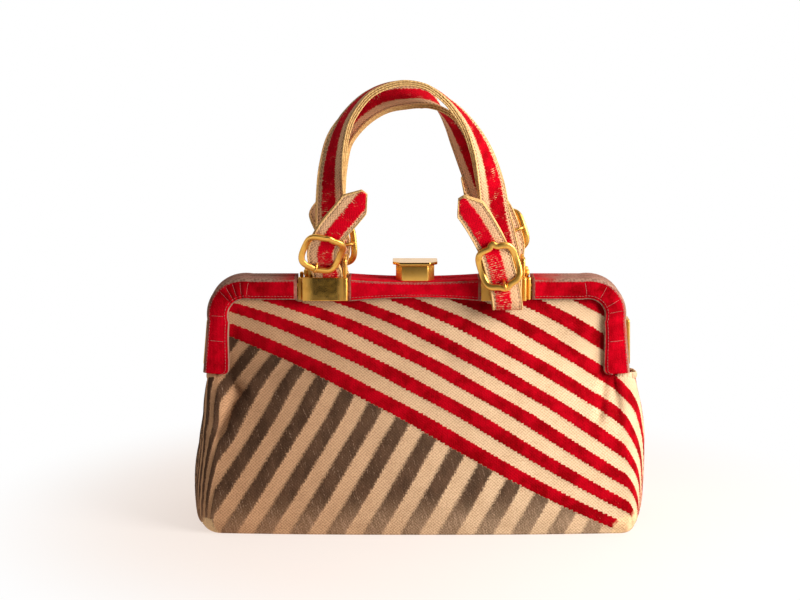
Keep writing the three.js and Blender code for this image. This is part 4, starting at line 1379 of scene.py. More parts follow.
@dataclass
class Handle:
    """A two-layer strap that folds round two pins, with turned edges, grooved sides and stitching."""

    side: Side
    velvet: bpy.types.Material
    thread: bpy.types.Material
    pin: PinPlace
    width: float = 19.6
    wall: float = 4.0
    roll: float = 0.68
    valley: float = 1.2
    crown: float = 0.25
    seam: Seam = Seam(1.7, 2.38, 0.2)
    seam_inset: float = 2.0
    seam_depth: float = 0.3
    seam_width: float = 0.5
    tip_length: float = 10.0
    tip_share: float = 0.25
    step: float = 1.7
    fold_steps: int = 4
    face_stripe: float = -1.3
    tail_stripe: float = 2.2
    stray: float = 0.5
    stray_length: float = 23.0
    no_stripe: float = 99.0

    def __post_init__(self) -> None:
        """Works out the strap's route and its curve's stations."""
        route = ROUTES[self.side]
        left_fold = self.fold(-self.pin.x, 0, 180)
        right_fold = self.fold(self.pin.x, 180, 180 - route.right_turn)
        rows = np.array([*route.left_tail, *left_fold, *route.arch, *right_fold, *route.right_tail], float)
        self.controls, self.rolls = rows[:, :3], rows[:, 3]
        self.arch_start = len(route.left_tail) + len(left_fold)
        self.arch_end = self.arch_start + len(route.arch) - 1
        self.right_start = self.arch_end + 1 + len(right_fold)
        spans = np.linalg.norm(np.diff(self.controls, axis=0), axis=1)
        steps = np.maximum(2, np.round(spans / self.step)).astype(int)
        runs = [i + np.arange(count) / count for i, count in enumerate(steps)]
        self.positions = np.concatenate([*runs, [len(spans)]])

    def fold(self, x: float, start: float, end: float) -> list[StrapRow]:
        """Places round a pin, on an arc of the pin, its clearance and half the strap.

        Args:
            x: the pin's place across the bag.
            start: the angle where the arc starts, in degrees.
            end: the angle where it ends.

        Returns:
            The rows of the arc.
        """
        radius = self.pin.radius + self.pin.fit + self.wall / 2
        angles = np.radians(np.linspace(start, end, self.fold_steps + 1))
        y = self.side.value * (self.pin.y + radius * np.cos(angles))
        z = self.pin.z - radius * np.sin(angles)
        return [StrapRow(x, *pair) for pair in zip(y, z)]

    def stations(self, positions: Array) -> StrapStation:
        """The strap's axes at places on its route.

        On the arch the strap's width turns by the roll from the bag's face towards the viewer, and elsewhere
        it lies along X. It is then made square to the curve.

        Args:
            positions: the places, counted in the route's rows.

        Returns:
            The axes there.
        """
        place = catmull_rom(self.controls, positions)
        near, last = 0.01, len(self.controls) - 1
        low, high = np.maximum(positions - near, 0), np.minimum(positions + near, last)
        along = unit(catmull_rom(self.controls, high) - catmull_rom(self.controls, low))
        roll = np.radians(np.interp(positions, np.arange(len(self.rolls)), self.rolls))[:, None]
        inward = unit(np.cross([0.0, 1.0, 0.0], along))
        arched = np.cos(roll) * inward + np.sin(roll) * np.array([0.0, -1.0, 0.0])
        flips = (positions >= self.arch_end) & (self.rolls[self.arch_end] < 90)
        level = np.where(flips, -1.0, 1.0)[:, None] * np.array([1.0, 0.0, 0.0])
        is_arch = ((positions > self.arch_start) & (positions < self.arch_end))[:, None]
        across = np.where(is_arch, arched, level)
        across = unit(across - np.sum(across * along, axis=1, keepdims=True) * along)
        return StrapStation(place, along, across, np.cross(across, along))

    def station(self, position: float) -> StrapStation:
        """The strap's axes at one place."""
        return StrapStation(*(part[0] for part in self.stations(np.array([float(position)]))))

    def edge_round(self, out: float, start: float, end: float, steps: int) -> Array:
        """A rounded edge as (across, out) rows, between two angles in degrees.

        Args:
            out: the height of the round's middle.
            start: the angle where it starts.
            end: the angle where it ends.
            steps: the number of rows.

        Returns:
            The rows.
        """
        turn = np.radians(np.linspace(start, end, steps))
        across = self.width / 2 - self.roll + self.roll * np.cos(turn)
        return np.stack([across, out + self.roll * np.sin(turn)], axis=1)

    def section(self) -> Array:
        """The strap's ring as (across, out) rows: crowned faces with sewn grooves, three rounds a side."""
        half, thick = self.width / 2, self.wall / 2
        face = np.linspace(-1, 1, 31) * (half - self.roll)
        from_seam = half - self.seam_inset - np.abs(face)
        groove = self.seam_depth * np.exp(-(from_seam / self.seam_width) ** 2)
        height = thick - self.crown * (face / half) ** 2 - groove
        high = thick - self.roll
        edge, core = self.edge_round(high, 75, -45, 6), self.edge_round(0.0, 45, -45, 5)
        low, up = (np.array([[half - self.valley, way * high / 2]]) for way in (-1, 1))
        right = np.concatenate([edge, up, core, low, edge[::-1] * [1, -1]])
        top = np.stack([face, height], axis=1)
        return np.concatenate([top, right, top[::-1] * [1, -1], right[::-1] * [-1, 1]])

    def tips(self, place: Array) -> Array:
        """The share of its width that the strap has, cut straight towards the tip of each tail.

        Args:
            place: the strap's places.

        Returns:
            The share at each place.
        """
        tips = (self.controls[0], self.controls[-1])
        nearest = np.min([np.linalg.norm(place - tip, axis=1) for tip in tips], axis=0)
        return self.tip_share + (1 - self.tip_share) * np.clip(nearest / self.tip_length, 0, 1)

    def build(self) -> None:
        """Makes the strap and its stitching.

        The finish reads three values: the margin to the strap's edge, whether a point lies in the groove of a
        side, where the finish paints shade, and how far it strays from the middle of the stripe. The last two
        points are the tips' middles.
        """
        axes = self.stations(self.positions)
        ring = self.section()
        share = self.tips(axes.place)
        across = share[:, None] * ring[None, :, 0]
        points = axes.place[:, None] + across[..., None] * axes.across[:, None]
        points = points + ring[None, :, 1, None] * axes.out[:, None]
        run = running_length(axes.place, 0)
        closed = np.append(ring[:, 0], ring[0, 0])
        flat = np.stack(np.broadcast_arrays(run[:, None], closed[None]), axis=-1)
        surface = tube(points, flat)
        off_middle, off_core = np.abs(ring[:, 0]), np.abs(ring[:, 1])
        margin = (self.width / 2 - off_middle)[None] * share[:, None]
        # Points in the groove of each side, which the finish darkens as painted shade.
        dip = np.isclose(off_middle, self.width / 2 - self.valley) & (off_core < self.wall / 2 - self.roll)
        stripe = np.where(ring[:, 1] > 0, self.face_stripe, self.tail_stripe)[None]
        stray = np.abs(across - stripe + self.stray * np.sin(run / self.stray_length)[:, None])
        surface.values = {
            "margin": np.append(margin, [0.0, 0.0]),
            "groove": np.append(np.broadcast_to(dip[None], margin.shape), [0.0, 0.0]),
            "stray": np.append(stray, [self.no_stripe, self.no_stripe]),
        }
        face = self.side.word
        settle(surface.make(f"strap_{face}", self.velvet), Slot.STRAP, f"handle_{face}")
        self.sew(f"strap_{face}_stitching", axes, share, run)

    def sew(self, name: str, axes: StrapStation, share: Array, run: Array) -> None:
        """Sews both edges of both faces.

        Args:
            name: the piece's name.
            axes: the strap's places and axes.
            share: the share of its width there.
            run: the running length there.
        """
        rows = []
        inset = np.maximum(0, self.width / 2 * share - self.seam_inset)
        lift = self.wall / 2 - self.crown * 0.7 - self.seam_depth
        for way in (-1, 1):
            for face in (-1, 1):
                line = axes.place + (way * inset)[:, None] * axes.across + face * lift * axes.out
                rows.append(self.seam.sewn(run, line, axes.along, face * axes.out))
        settle(Surface.joined(rows).make(name, self.thread), Slot.STRAP)


@dataclass
class Buckle:
    """A bowed ring with a bump at each end, a bar behind the strap, and the tongue that rests on the ring."""

    gold: bpy.types.Material
    half_width: float = 11.9
    half_height: float = 12.9
    square: float = 0.52
    knob: Pair = (2.7, 1.7)
    tip: Pair = (2.4, 3.0)
    wide: float = 2.1
    deep: float = 1.3
    front: float = 1.9
    arm_back: float = 0.6
    bar_radius: float = 1.1
    bar_back: float = 3.4
    bar_bend: Pair = (0.8, 1.4)
    bar_inset: float = 2.2
    section_power: float = 0.75
    tongue_radius: float = 0.9
    strap: float = 4.0
    fit: float = 0.3
    steps: int = 150

    def ring_path(self, down: int, bumps: float) -> Array:
        """The ring as (across, along, out) rows, evenly spaced.

        Across and along are a circle's cosine and sine to a power, so the ring is a round-cornered square.
        The ends bow forward with the square of the height. The end at the bag has a tip and the other a knob,
        on bell curves. Knob and tip are each a height and a width.

        Args:
            down: the way along the strap to the bag, -1 or 1.
            bumps: the share of their full height that the knob and the tip have.

        Returns:
            The rows.
        """
        turn = np.linspace(0, 2 * pi, 4001)
        circle = np.stack([np.cos(turn), np.sin(turn)])
        squared = np.sign(circle) * np.abs(circle) ** self.square
        across, plain = self.half_width * squared[0], self.half_height * squared[1]
        bow = squared[1] ** 2
        tip, knob = np.array(self.tip)[:, None], np.array(self.knob)[:, None]
        high, wide = np.where(np.sign(plain) == down, tip, knob)
        bump = bumps * np.sign(plain) * high * np.exp(-(across / wide) ** 2) * bow
        path = np.stack([across, plain + bump, -self.arm_back + (self.front + self.arm_back) * bow], axis=1)
        run = running_length(path, 0)
        return sampled(path, run, np.linspace(0, run[-1], self.steps, endpoint=False))

    def ring(self, down: int, bumps: float) -> Surface:
        """The ring with a softly squared section, wider across its face than it is deep.

        Args:
            down: the way along the strap to the bag, -1 or 1.
            bumps: the share of their full height that the knob and the tip have.

        Returns:
            A closed surface.
        """
        path = self.ring_path(down, bumps)
        smooth = (np.roll(path, 1, axis=0) + 2 * path + np.roll(path, -1, axis=0)) / 4
        ahead = unit(np.roll(smooth, -1, axis=0) - np.roll(smooth, 1, axis=0))
        face = unit(np.array([0.0, 0.0, 1.0]) - ahead[:, 2:] * ahead)
        beside = np.cross(ahead, face)
        angle = np.linspace(0, 2 * pi, 18, endpoint=False)
        wide, deep = (
            size * np.sign(part) * np.abs(part) ** self.section_power
            for size, part in ((self.wide, np.cos(angle)), (self.deep, np.sin(angle)))
        )
        rings = smooth[:, None] + wide[None, :, None] * beside[:, None] + deep[None, :, None] * face[:, None]
        return tube(rings, loops=True)

    def bar(self) -> Surface:
        """The bar, which dips behind the strap from one arm to the other."""
        inset, back = self.bar_bend
        bends = ((0.0, self.arm_back), (inset, self.arm_back + back), (self.bar_inset, self.bar_back))
        left = [(place - self.half_width, 0.0, -depth) for place, depth in bends]
        right = [(-x, y, z) for x, y, z in reversed(left)]
        path = catmull_rom(np.array(left + right), np.linspace(0, 5, 36))
        return swept(path, self.bar_radius, 14)

    def tongue(self, down: int) -> Surface:
        """The tongue, from the bar through the strap and over the end of the ring nearest the bag.

        Its route's rows are places along the strap and out of it: at the bar, inside the strap, over the
        strap, over the ring and past the ring.

        Args:
            down: the way along the strap to the bag, -1 or 1.

        Returns:
            A closed surface.
        """
        start = self.bar_radius + self.tongue_radius + self.fit
        rest = self.front + self.deep + self.tongue_radius + self.fit
        over = self.strap / 2 + self.tongue_radius + self.fit
        ring = self.half_height
        bends = (
            (start, -self.bar_back), (start + 7.0, -0.5), (start + 9.2, over + 0.4),
            (ring + 0.6, rest + 0.5), (ring + 3.2, rest),
        )
        route = np.array([(0.0, down * along, out) for along, out in bends])
        path = catmull_rom(route, np.linspace(0, len(route) - 1, 40))
        from_tip = np.linspace(1, 0, 40)
        radius = self.tongue_radius * np.sqrt(np.clip(0.15 + from_tip / 0.05, 0, 1)) * (0.8 + 0.2 * from_tip)
        return swept(path, radius, 12)

    def build(
        self, station: StrapStation, side: Side, end: End,
        skew: float = 0.0, lift: float = 0.0, bumps: float = 1.0,
    ) -> None:
        """Makes the buckle and its tongue on a strap.

        Args:
            station: the strap's axes at the bar.
            side: the face of the bag.
            end: the end of the bag, which says which way along the strap the bag lies.
            skew: the angle in degrees that the ring is turned on the strap.
            lift: how far the ring is moved out of the strap.
            bumps: the share of their full height that the ring's knob and tip have.
        """
        outward = station.out * np.sign(station.out[1]) * side.value
        c, s = cos(radians(skew)), sin(radians(skew))
        across, along = station.across, station.along
        axes = np.stack([c * across + s * along, c * along - s * across, outward])
        where = f"{side.word}_{end.word}"
        parts = (self.ring(-end.value, bumps), self.bar())
        ring_piece = Surface.joined([part.placed(axes, station.place + lift * outward) for part in parts])
        settle(ring_piece.make(f"gold_buckle_{where}", self.gold, 60), Slot.BRASS, f"buckle_{where}")
        tongue = self.tongue(-end.value).placed(axes, station.place)
        settle(tongue.make(f"gold_tongue_{where}", self.gold, 60), Slot.BRASS, f"prong_{where}")


# Fittings


@dataclass
class Bracket:
    """A plate on the frame, a saddle over it, two ears and the pin that the strap folds round."""

    gold: bpy.types.Material
    satin: bpy.types.Material
    pin: PinPlace
    shift: float = -1.4
    plate_half: float = 14.8
    plate_low: float = 145.8
    plate_high: float = 161.2
    plate_front: float = 14.0
    plate_wall: float = 1.4
    plate_bevel: float = 0.35
    saddle_outer: float = 17.8
    saddle_inner: float = 14.5
    saddle_low: float = 146.2
    saddle_top: float = 157.6
    saddle_back: float = 1.0
    saddle_front: float = 11.3
    saddle_wall: float = 0.8
    saddle_bevel: float = 0.25
    saddle_round: float = 0.6
    core_half: float = 12.0
    core_low: float = 147.0
    core_depth: Pair = (10.9, 13.1)
    core_bevel: float = 0.2
    bead_radius: float = 1.3
    bead_low: float = 146.4
    bead_top: float = 161.4
    bead_dome: float = 1.4
    rib_radius: float = 1.5
    rib_front: float = 13.3
    ear_inside: float = 10.3
    ear_wall: float = 2.4
    ear_top: float = 174.0
    ear_front: float = 9.7
    ear_back: float = 2.4
    ear_low: float = 156.8
    ear_round: float = 3.4
    ear_bevel: float = 0.9
    knob_radius: float = 2.3
    knob_length: float = 2.6

    def upright(self, x: Pair, z: Pair, y: Pair, bevel: float) -> Surface:
        """A plate in X and Z between two depths, with its outer face towards the front.

        Args:
            x: its left and right ends.
            z: its lower and upper edges.
            y: its two depths.
            bevel: the radius of its edges.

        Returns:
            A closed surface.
        """
        corner = 1.8 * bevel
        axes = np.array([[1.0, 0.0, 0.0], [0.0, 0.0, 1.0], [0.0, 1.0, 0.0]])
        return plate(box_outline(*x, *z, corner), *y, bevel).placed(axes, np.zeros(3))

    def ear(self, x0: float) -> Surface:
        """An ear: straight sides and a half-round top, seen from the end of the bag.

        Args:
            x0: the place of its left face.

        Returns:
            A closed surface.
        """
        arc = np.linspace(0, pi, 15)
        across = self.pin.y + self.ear_round * np.cos(arc)
        top = np.stack([across, self.ear_top - self.ear_round + self.ear_round * np.sin(arc)], axis=1)
        low = [
            (self.ear_back, self.pin.z), (self.ear_back, self.ear_low),
            (self.ear_front, self.ear_low), (self.ear_front, self.pin.z),
        ]
        axes = np.array([[0.0, 1.0, 0.0], [0.0, 0.0, 1.0], [1.0, 0.0, 0.0]])
        flat = plate(np.concatenate([top, low]), x0, x0 + self.ear_wall, self.ear_bevel)
        return flat.placed(axes, np.zeros(3))

    def bead(self, x: float, y: float, radius: float) -> Surface:
        """A round bead up the bracket, closed with a dome.

        Args:
            x: its place across.
            y: its depth.
            radius: its radius.

        Returns:
            A closed surface.
        """
        turn = np.linspace(0, self.bead_dome, 6)
        z = np.append(self.bead_low, self.bead_top - radius * (1 - np.sin(turn)))
        path = np.stack([np.full_like(z, x), np.full_like(z, y), z], axis=1)
        return swept(path, radius * np.append(1.0, np.cos(turn)), 20)

    def plates(self, end: End) -> list[Surface]:
        """The bracket's plates, with X from the pin's middle and the front at +Y.

        Args:
            end: the end of the bag.

        Returns:
            The plates.
        """
        shift = end.value * self.shift
        saddle = (shift - self.saddle_inner, shift + self.saddle_outer)
        face = (shift - self.plate_half, shift + self.plate_half)
        front, top, wall = self.saddle_front, self.saddle_top, self.saddle_wall
        outline = box_outline(*saddle, self.saddle_back, front, self.saddle_round)
        back = self.plate_front - self.plate_wall
        core = (-self.core_half, self.core_half)
        return [
            plate(outline, top - wall, top, self.saddle_bevel),
            self.upright(saddle, (self.saddle_low, top), (front - wall, front), self.saddle_bevel),
            self.upright(core, (self.core_low, top), self.core_depth, self.core_bevel),
            self.upright(face, (self.plate_low, self.plate_high), (back, self.plate_front), self.plate_bevel),
        ]

    def posts(self, end: End) -> list[Surface]:
        """The bracket's round edges and its ears, placed likewise.

        Args:
            end: the end of the bag.

        Returns:
            The rounds and the ears.
        """
        shift = end.value * self.shift
        rib = shift + end.value * (self.plate_half - self.rib_radius)
        return [
            self.bead(self.saddle_outer + shift - self.bead_radius, self.saddle_front, self.bead_radius),
            self.bead(rib, self.rib_front, self.rib_radius),
            self.ear(self.ear_inside),
            self.ear(-self.ear_inside - self.ear_wall),
        ]

    def pin_surface(self) -> Surface:
        """The pin, turned round X, with a round head outside the outer ear."""
        neck = self.ear_inside + self.ear_wall + self.pin.fit
        head = neck + self.knob_length
        r, knob = self.pin.radius, self.knob_radius
        profile = [
            (-neck, 0.9 * r), (0.2 - neck, r), (neck, r), (neck, 0.8 * knob), (neck + 0.25, 0.93 * knob),
            (neck + 0.8, knob), (head - 1.2, knob), (head - 0.6, 0.93 * knob), (head - 0.15, 0.72 * knob),
            (head, 0.45 * knob),
        ]
        return lathe(profile, 28).placed(np.eye(3), [0.0, self.pin.y, self.pin.z])

    def build_all(self) -> None:
        """Makes the four brackets and pins, mirrored into place."""
        for side in Side:
            for end in End:
                where = f"{side.word}_{end.word}"
                axes = np.diag([end.value, side.value, 1.0])
                origin = [end.value * self.pin.x, 0.0, 0.0]
                plates, posts = (
                    Surface.joined([part.placed(axes, origin) for part in parts])
                    for parts in (self.plates(end), self.posts(end))
                )
                settle(plates.make(f"gold_bracket_{where}", self.gold, 35), Slot.BRASS, f"bracket_{where}")
                settle(posts.make(f"gold_posts_{where}", self.satin, 35), Slot.BRASS)
                pin = self.pin_surface().placed(axes, origin)
                settle(pin.make(f"gold_pin_{where}", self.gold, 50), Slot.BRASS, f"pin_{where}")


@dataclass
class Clasp:
    """A block on each half of the frame and the lever on top, which turns on knuckles behind."""

    gold: bpy.types.Material
    satin: bpy.types.Material
    x: float = -1.0
    half_width: float = 12.6
    front: float = 11.2
    back: float = 6.2
    low: float = 158.5
    top: float = 168.6
    gap: float = 0.5
    chamfer: float = 4.2
    corner: float = 0.6
    bevel: float = 0.3
    lever_half: float = 14.7
    lever_front: float = 13.8
    lever_back: float = 6.6
    lever_low: float = 169.2
    lever_wall: float = 1.9
    lever_chamfer: float = 5.0
    lever_corner: float = 1.0
    lever_bevel: float = 0.4
    neck_wall: float = 0.9
    neck_corner: float = 0.4
    neck_bevel: float = 0.2
    hinge_y: float = 8.6
    hinge_z: float = 168.3
    hinge_radius: float = 1.6
    hinge_half: float = 8.0
    hinge_gap: float = 0.4
    hinge_overlap: float = 1.0
    knuckle: float = 3.1
    web_top: float = 168.0
    web_corner: float = 0.3
    web_bevel: float = 0.15

    def block(self, half: float, front: float, back: float, chamfer: float, radius: float) -> Array:
        """An outline with cut front corners, seen from above.

        Args:
            half: half its width.
            front: its reach to the front.
            back: its reach to the back.
            chamfer: the size of the cut corners.
            radius: where the round of each corner starts.

        Returns:
            The outline's points.
        """
        corners = [
            (-half, back), (-half, -front + chamfer), (-half + chamfer, -front),
            (half - chamfer, -front), (half, -front + chamfer), (half, back),
        ]
        return rounded(corners, radius) + [self.x, 0.0]

    def knuckle_round(self, x0: float, x1: float) -> Surface:
        """A round of the hinge between two places across the clasp.

        Args:
            x0: its left end.
            x1: its right end.

        Returns:
            A closed surface.
        """
        r, end = self.hinge_radius, 0.2
        profile = [(x0, 0.85 * r), (x0 + end, r), (x1 - end, r), (x1, 0.85 * r)]
        return lathe(profile, 24).placed(np.eye(3), [self.x, self.hinge_y, self.hinge_z])

    def build(self) -> None:
        """Makes the case, the post with its knuckles and the lever."""
        front = self.block(self.half_width, self.front, -self.gap, self.chamfer, self.corner)
        case = plate(front, self.low, self.top, self.bevel)
        settle(case.make("gold_clasp_case", self.satin, 30), Slot.BRASS, "clasp_case")
        settle(self.post().make("gold_clasp_post", self.gold, 30), Slot.BRASS, "clasp_post")
        lever = self.lever().make("gold_clasp_lever", self.gold, 30)
        settle(lever, Slot.BRASS, "clasp_lever", body=LEVER)

    def post(self) -> Surface:
        """The block on the back half, with a knuckle on a web at each end of the hinge."""
        left, right = self.x - self.half_width, self.x + self.half_width
        block = box_outline(left, right, self.gap, self.back, self.corner)
        parts = [plate(block, self.low, self.top, self.bevel)]
        near = self.hinge_half + self.hinge_gap
        far = near + self.knuckle
        for x0, x1 in ((-far, -near), (near, far)):
            start = self.back - self.hinge_overlap
            web = box_outline(self.x + x0, self.x + x1, start, self.hinge_y, self.web_corner)
            parts.append(self.knuckle_round(x0, x1))
            parts.append(plate(web, self.hinge_z - self.hinge_radius, self.web_top, self.web_bevel))
        return Surface.joined(parts)

    def lever(self) -> Surface:
        """The lever: a plate with cut corners, a neck and the middle round of the hinge."""
        outline = self.block(
            self.lever_half, self.lever_front, self.lever_back, self.lever_chamfer, self.lever_corner,
        )
        left, right = self.x - self.hinge_half, self.x + self.hinge_half
        neck = box_outline(left, right, self.lever_back - self.hinge_overlap, self.hinge_y, self.neck_corner)
        return Surface.joined([
            plate(outline, self.lever_low, self.lever_low + self.lever_wall, self.lever_bevel),
            plate(neck, self.lever_low, self.lever_low + self.neck_wall, self.neck_bevel),
            self.knuckle_round(-self.hinge_half, self.hinge_half),
        ])


@dataclass
class SidePlate:
    """A gold plate on the outer side of each leg of the frame."""

    gold: bpy.types.Material
    path: FramePath
    middle: float = 117.0
    length: float = 29.8
    half_depth: float = 7.5
    wall: float = 1.6
    corner: float = 1.5
    bevel: float = 0.5
    fit: float = 0.3
    left_sink: float = 1.3
    right_lean: float = 0.7

    def build_all(self) -> None:
        """Makes both plates along the legs, the left one sunk into its sleeve and the right one a wedge."""
        along = (self.middle - self.path.foot_z) / cos(self.path.flare)
        station = self.path.leg(np.array([along]))
        out = np.array([station.out_x[0], 0.0, station.out_z[0]])
        up = np.array([-out[2], 0.0, out[0]])
        place = np.array([station.x[0], 0.0, station.z[0]]) + self.fit * out
        half = self.length / 2
        outline = box_outline(-self.half_depth, self.half_depth, -half, half, self.corner)
        flat = plate(outline, 0.0, self.wall, self.bevel)
        for end, sink, lean in ((End.LEFT, self.left_sink, 0.0), (End.RIGHT, 0.0, self.right_lean)):
            mirror = np.array([end.value, 1.0, 1.0])
            axes = np.stack([np.array([0.0, 1.0, 0.0]), up * mirror, out * mirror])
            points = flat.points.copy()
            points[:, 2] *= 1 + lean * points[:, 1] / half
            wedge = replace(flat, points=points).placed(axes, (place - sink * out) * mirror)
            piece = wedge.make(f"gold_side_plate_{end.word}", self.gold, 35)
            settle(piece, Slot.BRASS, f"side_hinge_{end.word}")


# Finishes


class Colour(NamedTuple):
    """A colour in linear light."""

    red: float
    green: float
    blue: float

    @property
    def rgba(self) -> tuple[float, float, float, float]:
        """The colour as a socket takes it."""
        return (self.red, self.green, self.blue, 1.0)

    def darker(self, share: float) -> Colour:
        """The colour with a share of its light."""
        return Colour(*(share * part for part in self))


class Graph:
    """Adds shader nodes to a tree and joins them, so that a material reads as its recipe.

    In a recipe the sizes of noise are in millimetres, and the other plain numbers are weights and the ends of
    ramps.
    """

    def __init__(self, tree: bpy.types.NodeTree) -> None:
        """Starts on an empty tree."""
        self.tree = tree
        tree.nodes.clear()

    def node(
        self, kind: str, inputs: dict[str | int, object] | None = None, **settings: object,
    ) -> bpy.types.Node:
        """A node with its settings made and its inputs fed by a socket or a value.

        Args:
            kind: the node's type.
            inputs: what feeds each input, by its name or number.
            settings: the node's own settings.

        Returns:
            The node.
        """
        node = self.tree.nodes.new(kind)
        for key, value in settings.items():
            setattr(node, key, value)
        for key, value in (inputs or {}).items():
            self.feed(node.inputs[key], value)
        return node

    def feed(self, socket: Socket, value: object) -> None:
        """Joins a socket to the input, or sets the input's own value."""
        if isinstance(value, bpy.types.NodeSocket):
            self.tree.links.new(value, socket)
        else:
            socket.default_value = value.rgba if isinstance(value, Colour) else value

    def math(self, operation: str, *values: Socket | float, clamp: bool = False) -> Socket:
        """A number worked out by one operation."""
        inputs = dict(enumerate(values))
        return self.node("ShaderNodeMath", inputs, operation=operation, use_clamp=clamp).outputs[0]

    def sum(self, *values: Socket | float) -> Socket:
        """The sum of several numbers."""
        return reduce(lambda total, value: self.math("ADD", total, value), values)

    def product(self, *values: Socket | float) -> Socket:
        """The product of several numbers."""
        return reduce(lambda total, value: self.math("MULTIPLY", total, value), values)

    def largest(self, *values: Socket | float) -> Socket:
        """The largest of several numbers."""
        return reduce(lambda most, value: self.math("MAXIMUM", most, value), values)

    def less(self, first: Socket | float, second: Socket | float) -> Socket:
        """The first number less the second."""
        return self.math("SUBTRACT", first, second)

    def scaled(self, value: Socket, factor: Socket | float, offset: Socket | float = 0.0) -> Socket:
        """A number times a factor, with an offset."""
        return self.math("MULTIPLY_ADD", value, factor, offset)

    def ramp(self, value: Socket | float, low: float, high: float) -> Socket:
        """Rises smoothly from 0 at low to 1 at high."""
        inputs = {"Value": value, "From Min": low, "From Max": high}
        return self.node("ShaderNodeMapRange", inputs, interpolation_type="SMOOTHSTEP").outputs[0]

    def blend(self, share: Socket | float, first: Colour | Socket, second: Colour | Socket) -> Socket:
        """A colour between two colours."""
        return self.node("ShaderNodeMix", {0: share, 6: first, 7: second}, data_type="RGBA").outputs[2]

    def noise(self, place: Socket, size: float, detail: float = 2.0, rough: float = 0.5) -> Socket:
        """Noise from 0 to 1 whose lumps measure about size, in millimetres."""
        inputs = {"Vector": place, "Scale": 1 / (size * MM), "Detail": detail, "Roughness": rough}
        return self.node("ShaderNodeTexNoise", inputs).outputs[0]

    def split(self, vector: Socket) -> tuple[Socket, Socket, Socket]:
        """The three parts of a vector."""
        outputs = self.node("ShaderNodeSeparateXYZ", {0: vector}).outputs
        return outputs[0], outputs[1], outputs[2]

    def stretched(self, vector: Socket, scale: tuple[float, float, float], turn: float = 0.0) -> Socket:
        """A vector turned about Z and scaled, to draw a pattern out along one way."""
        inputs = {"Vector": vector, "Scale": scale, "Rotation": (0.0, 0.0, turn)}
        return self.node("ShaderNodeMapping", inputs).outputs[0]

    def vector_math(self, operation: str, *vectors: object) -> bpy.types.NodeOutputs:
        """The outputs of one operation on vectors."""
        return self.node("ShaderNodeVectorMath", dict(enumerate(vectors)), operation=operation).outputs

    def place(self) -> Socket:
        """The place on the piece, in metres."""
        return self.node("ShaderNodeTexCoord").outputs["Object"]

    def flat(self) -> Socket:
        """The flat place on the cloth."""
        return self.node("ShaderNodeUVMap", uv_map="flat").outputs[0]

    def attribute(self, name: str) -> Socket:
        """A value that the mesh holds at its points."""
        return self.node("ShaderNodeAttribute", attribute_name=name).outputs["Fac"]

    def bump(self, height: Socket, strength: float, distance: float) -> Socket:
        """A normal bent by a height, which stands for a distance in millimetres."""
        inputs = {"Height": height, "Strength": strength, "Distance": distance * MM}
        return self.node("ShaderNodeBump", inputs).outputs[0]

    def mix(self, share: Socket, first: Socket, second: Socket) -> Socket:
        """A shader between two shaders."""
        return self.node("ShaderNodeMixShader", {0: share, 1: first, 2: second}).outputs[0]

    def end(self, shader: Socket) -> None:
        """Gives the material its shader."""
        self.node("ShaderNodeOutputMaterial", {"Surface": shader})


def new_material(name: str) -> tuple[bpy.types.Material, Graph]:
    """A new material and a graph on its tree."""
    material = bpy.data.materials.new(name)
    material.use_nodes = True
    return material, Graph(material.node_tree)


def shader_group(
    name: str, inputs: dict[str, str], outputs: dict[str, str],
) -> tuple[bpy.types.NodeTree, Graph]:
    """A new node group with named inputs and outputs.

    Args:
        name: the group's name.
        inputs: the kind of socket of each input, by name.
        outputs: the kind of socket of each output, by name.

    Returns:
        The group's tree and a graph to fill it with.
    """
    tree = bpy.data.node_groups.new(name, "ShaderNodeTree")
    for way, sockets in (("INPUT", inputs), ("OUTPUT", outputs)):
        for label, kind in sockets.items():
            tree.interface.new_socket(name=label, in_out=way, socket_type=f"NodeSocket{kind}")
    return tree, Graph(tree)


def weave_group(warp_pitch: float = 2.3, weft_pitch: float = 2.0) -> bpy.types.NodeTree:
    """The bare weave: dark specks between crossing threads, with slubs and slow changes of tone.

    Args:
        warp_pitch: the pitch of the warp in millimetres.
        weft_pitch: that of the weft.

    Returns:
        The group's tree.
    """
    tree, graph = shader_group(
        "bare weave", {"Place": "Vector", "Light": "Color", "Dark": "Color"},
        {"Colour": "Color", "Height": "Float"},
    )
    given = graph.node("NodeGroupInput").outputs
    place = given["Place"]
    x, y, _ = graph.split(place)
    warp = graph.math("SINE", graph.scaled(x, 2 * pi / (warp_pitch * MM)))
    weft = graph.math("SINE", graph.scaled(y, 2 * pi / (weft_pitch * MM)))
    crossed = graph.scaled(graph.product(warp, weft), 0.17)
    fine = graph.scaled(graph.noise(place, 1.1, 2.0, 0.65), 0.7, 0.15)
    dots = graph.ramp(graph.sum(fine, crossed), 0.46, 0.58)
    speck = graph.ramp(graph.noise(place, 1.4, 2.0, 0.6), 0.5, 0.75)
    tone = graph.ramp(graph.noise(place, 16.0, 3.0, 0.55), 0.35, 0.7)
    slub = graph.noise(graph.stretched(place, (0.12, 1.0, 1.0)), 0.9, 1.0)
    thick = graph.ramp(slub, 0.5, 0.8)
    dark = graph.sum(graph.scaled(dots, 0.6), *(graph.scaled(part, 0.2) for part in (speck, tone, thick)))
    colour = graph.blend(graph.math("MULTIPLY", dark, 0.75, clamp=True), given["Light"], given["Dark"])
    height = graph.less(graph.scaled(slub, 0.3), graph.scaled(dots, 0.5))
    graph.node("NodeGroupOutput", {"Colour": colour, "Height": height})
    return tree


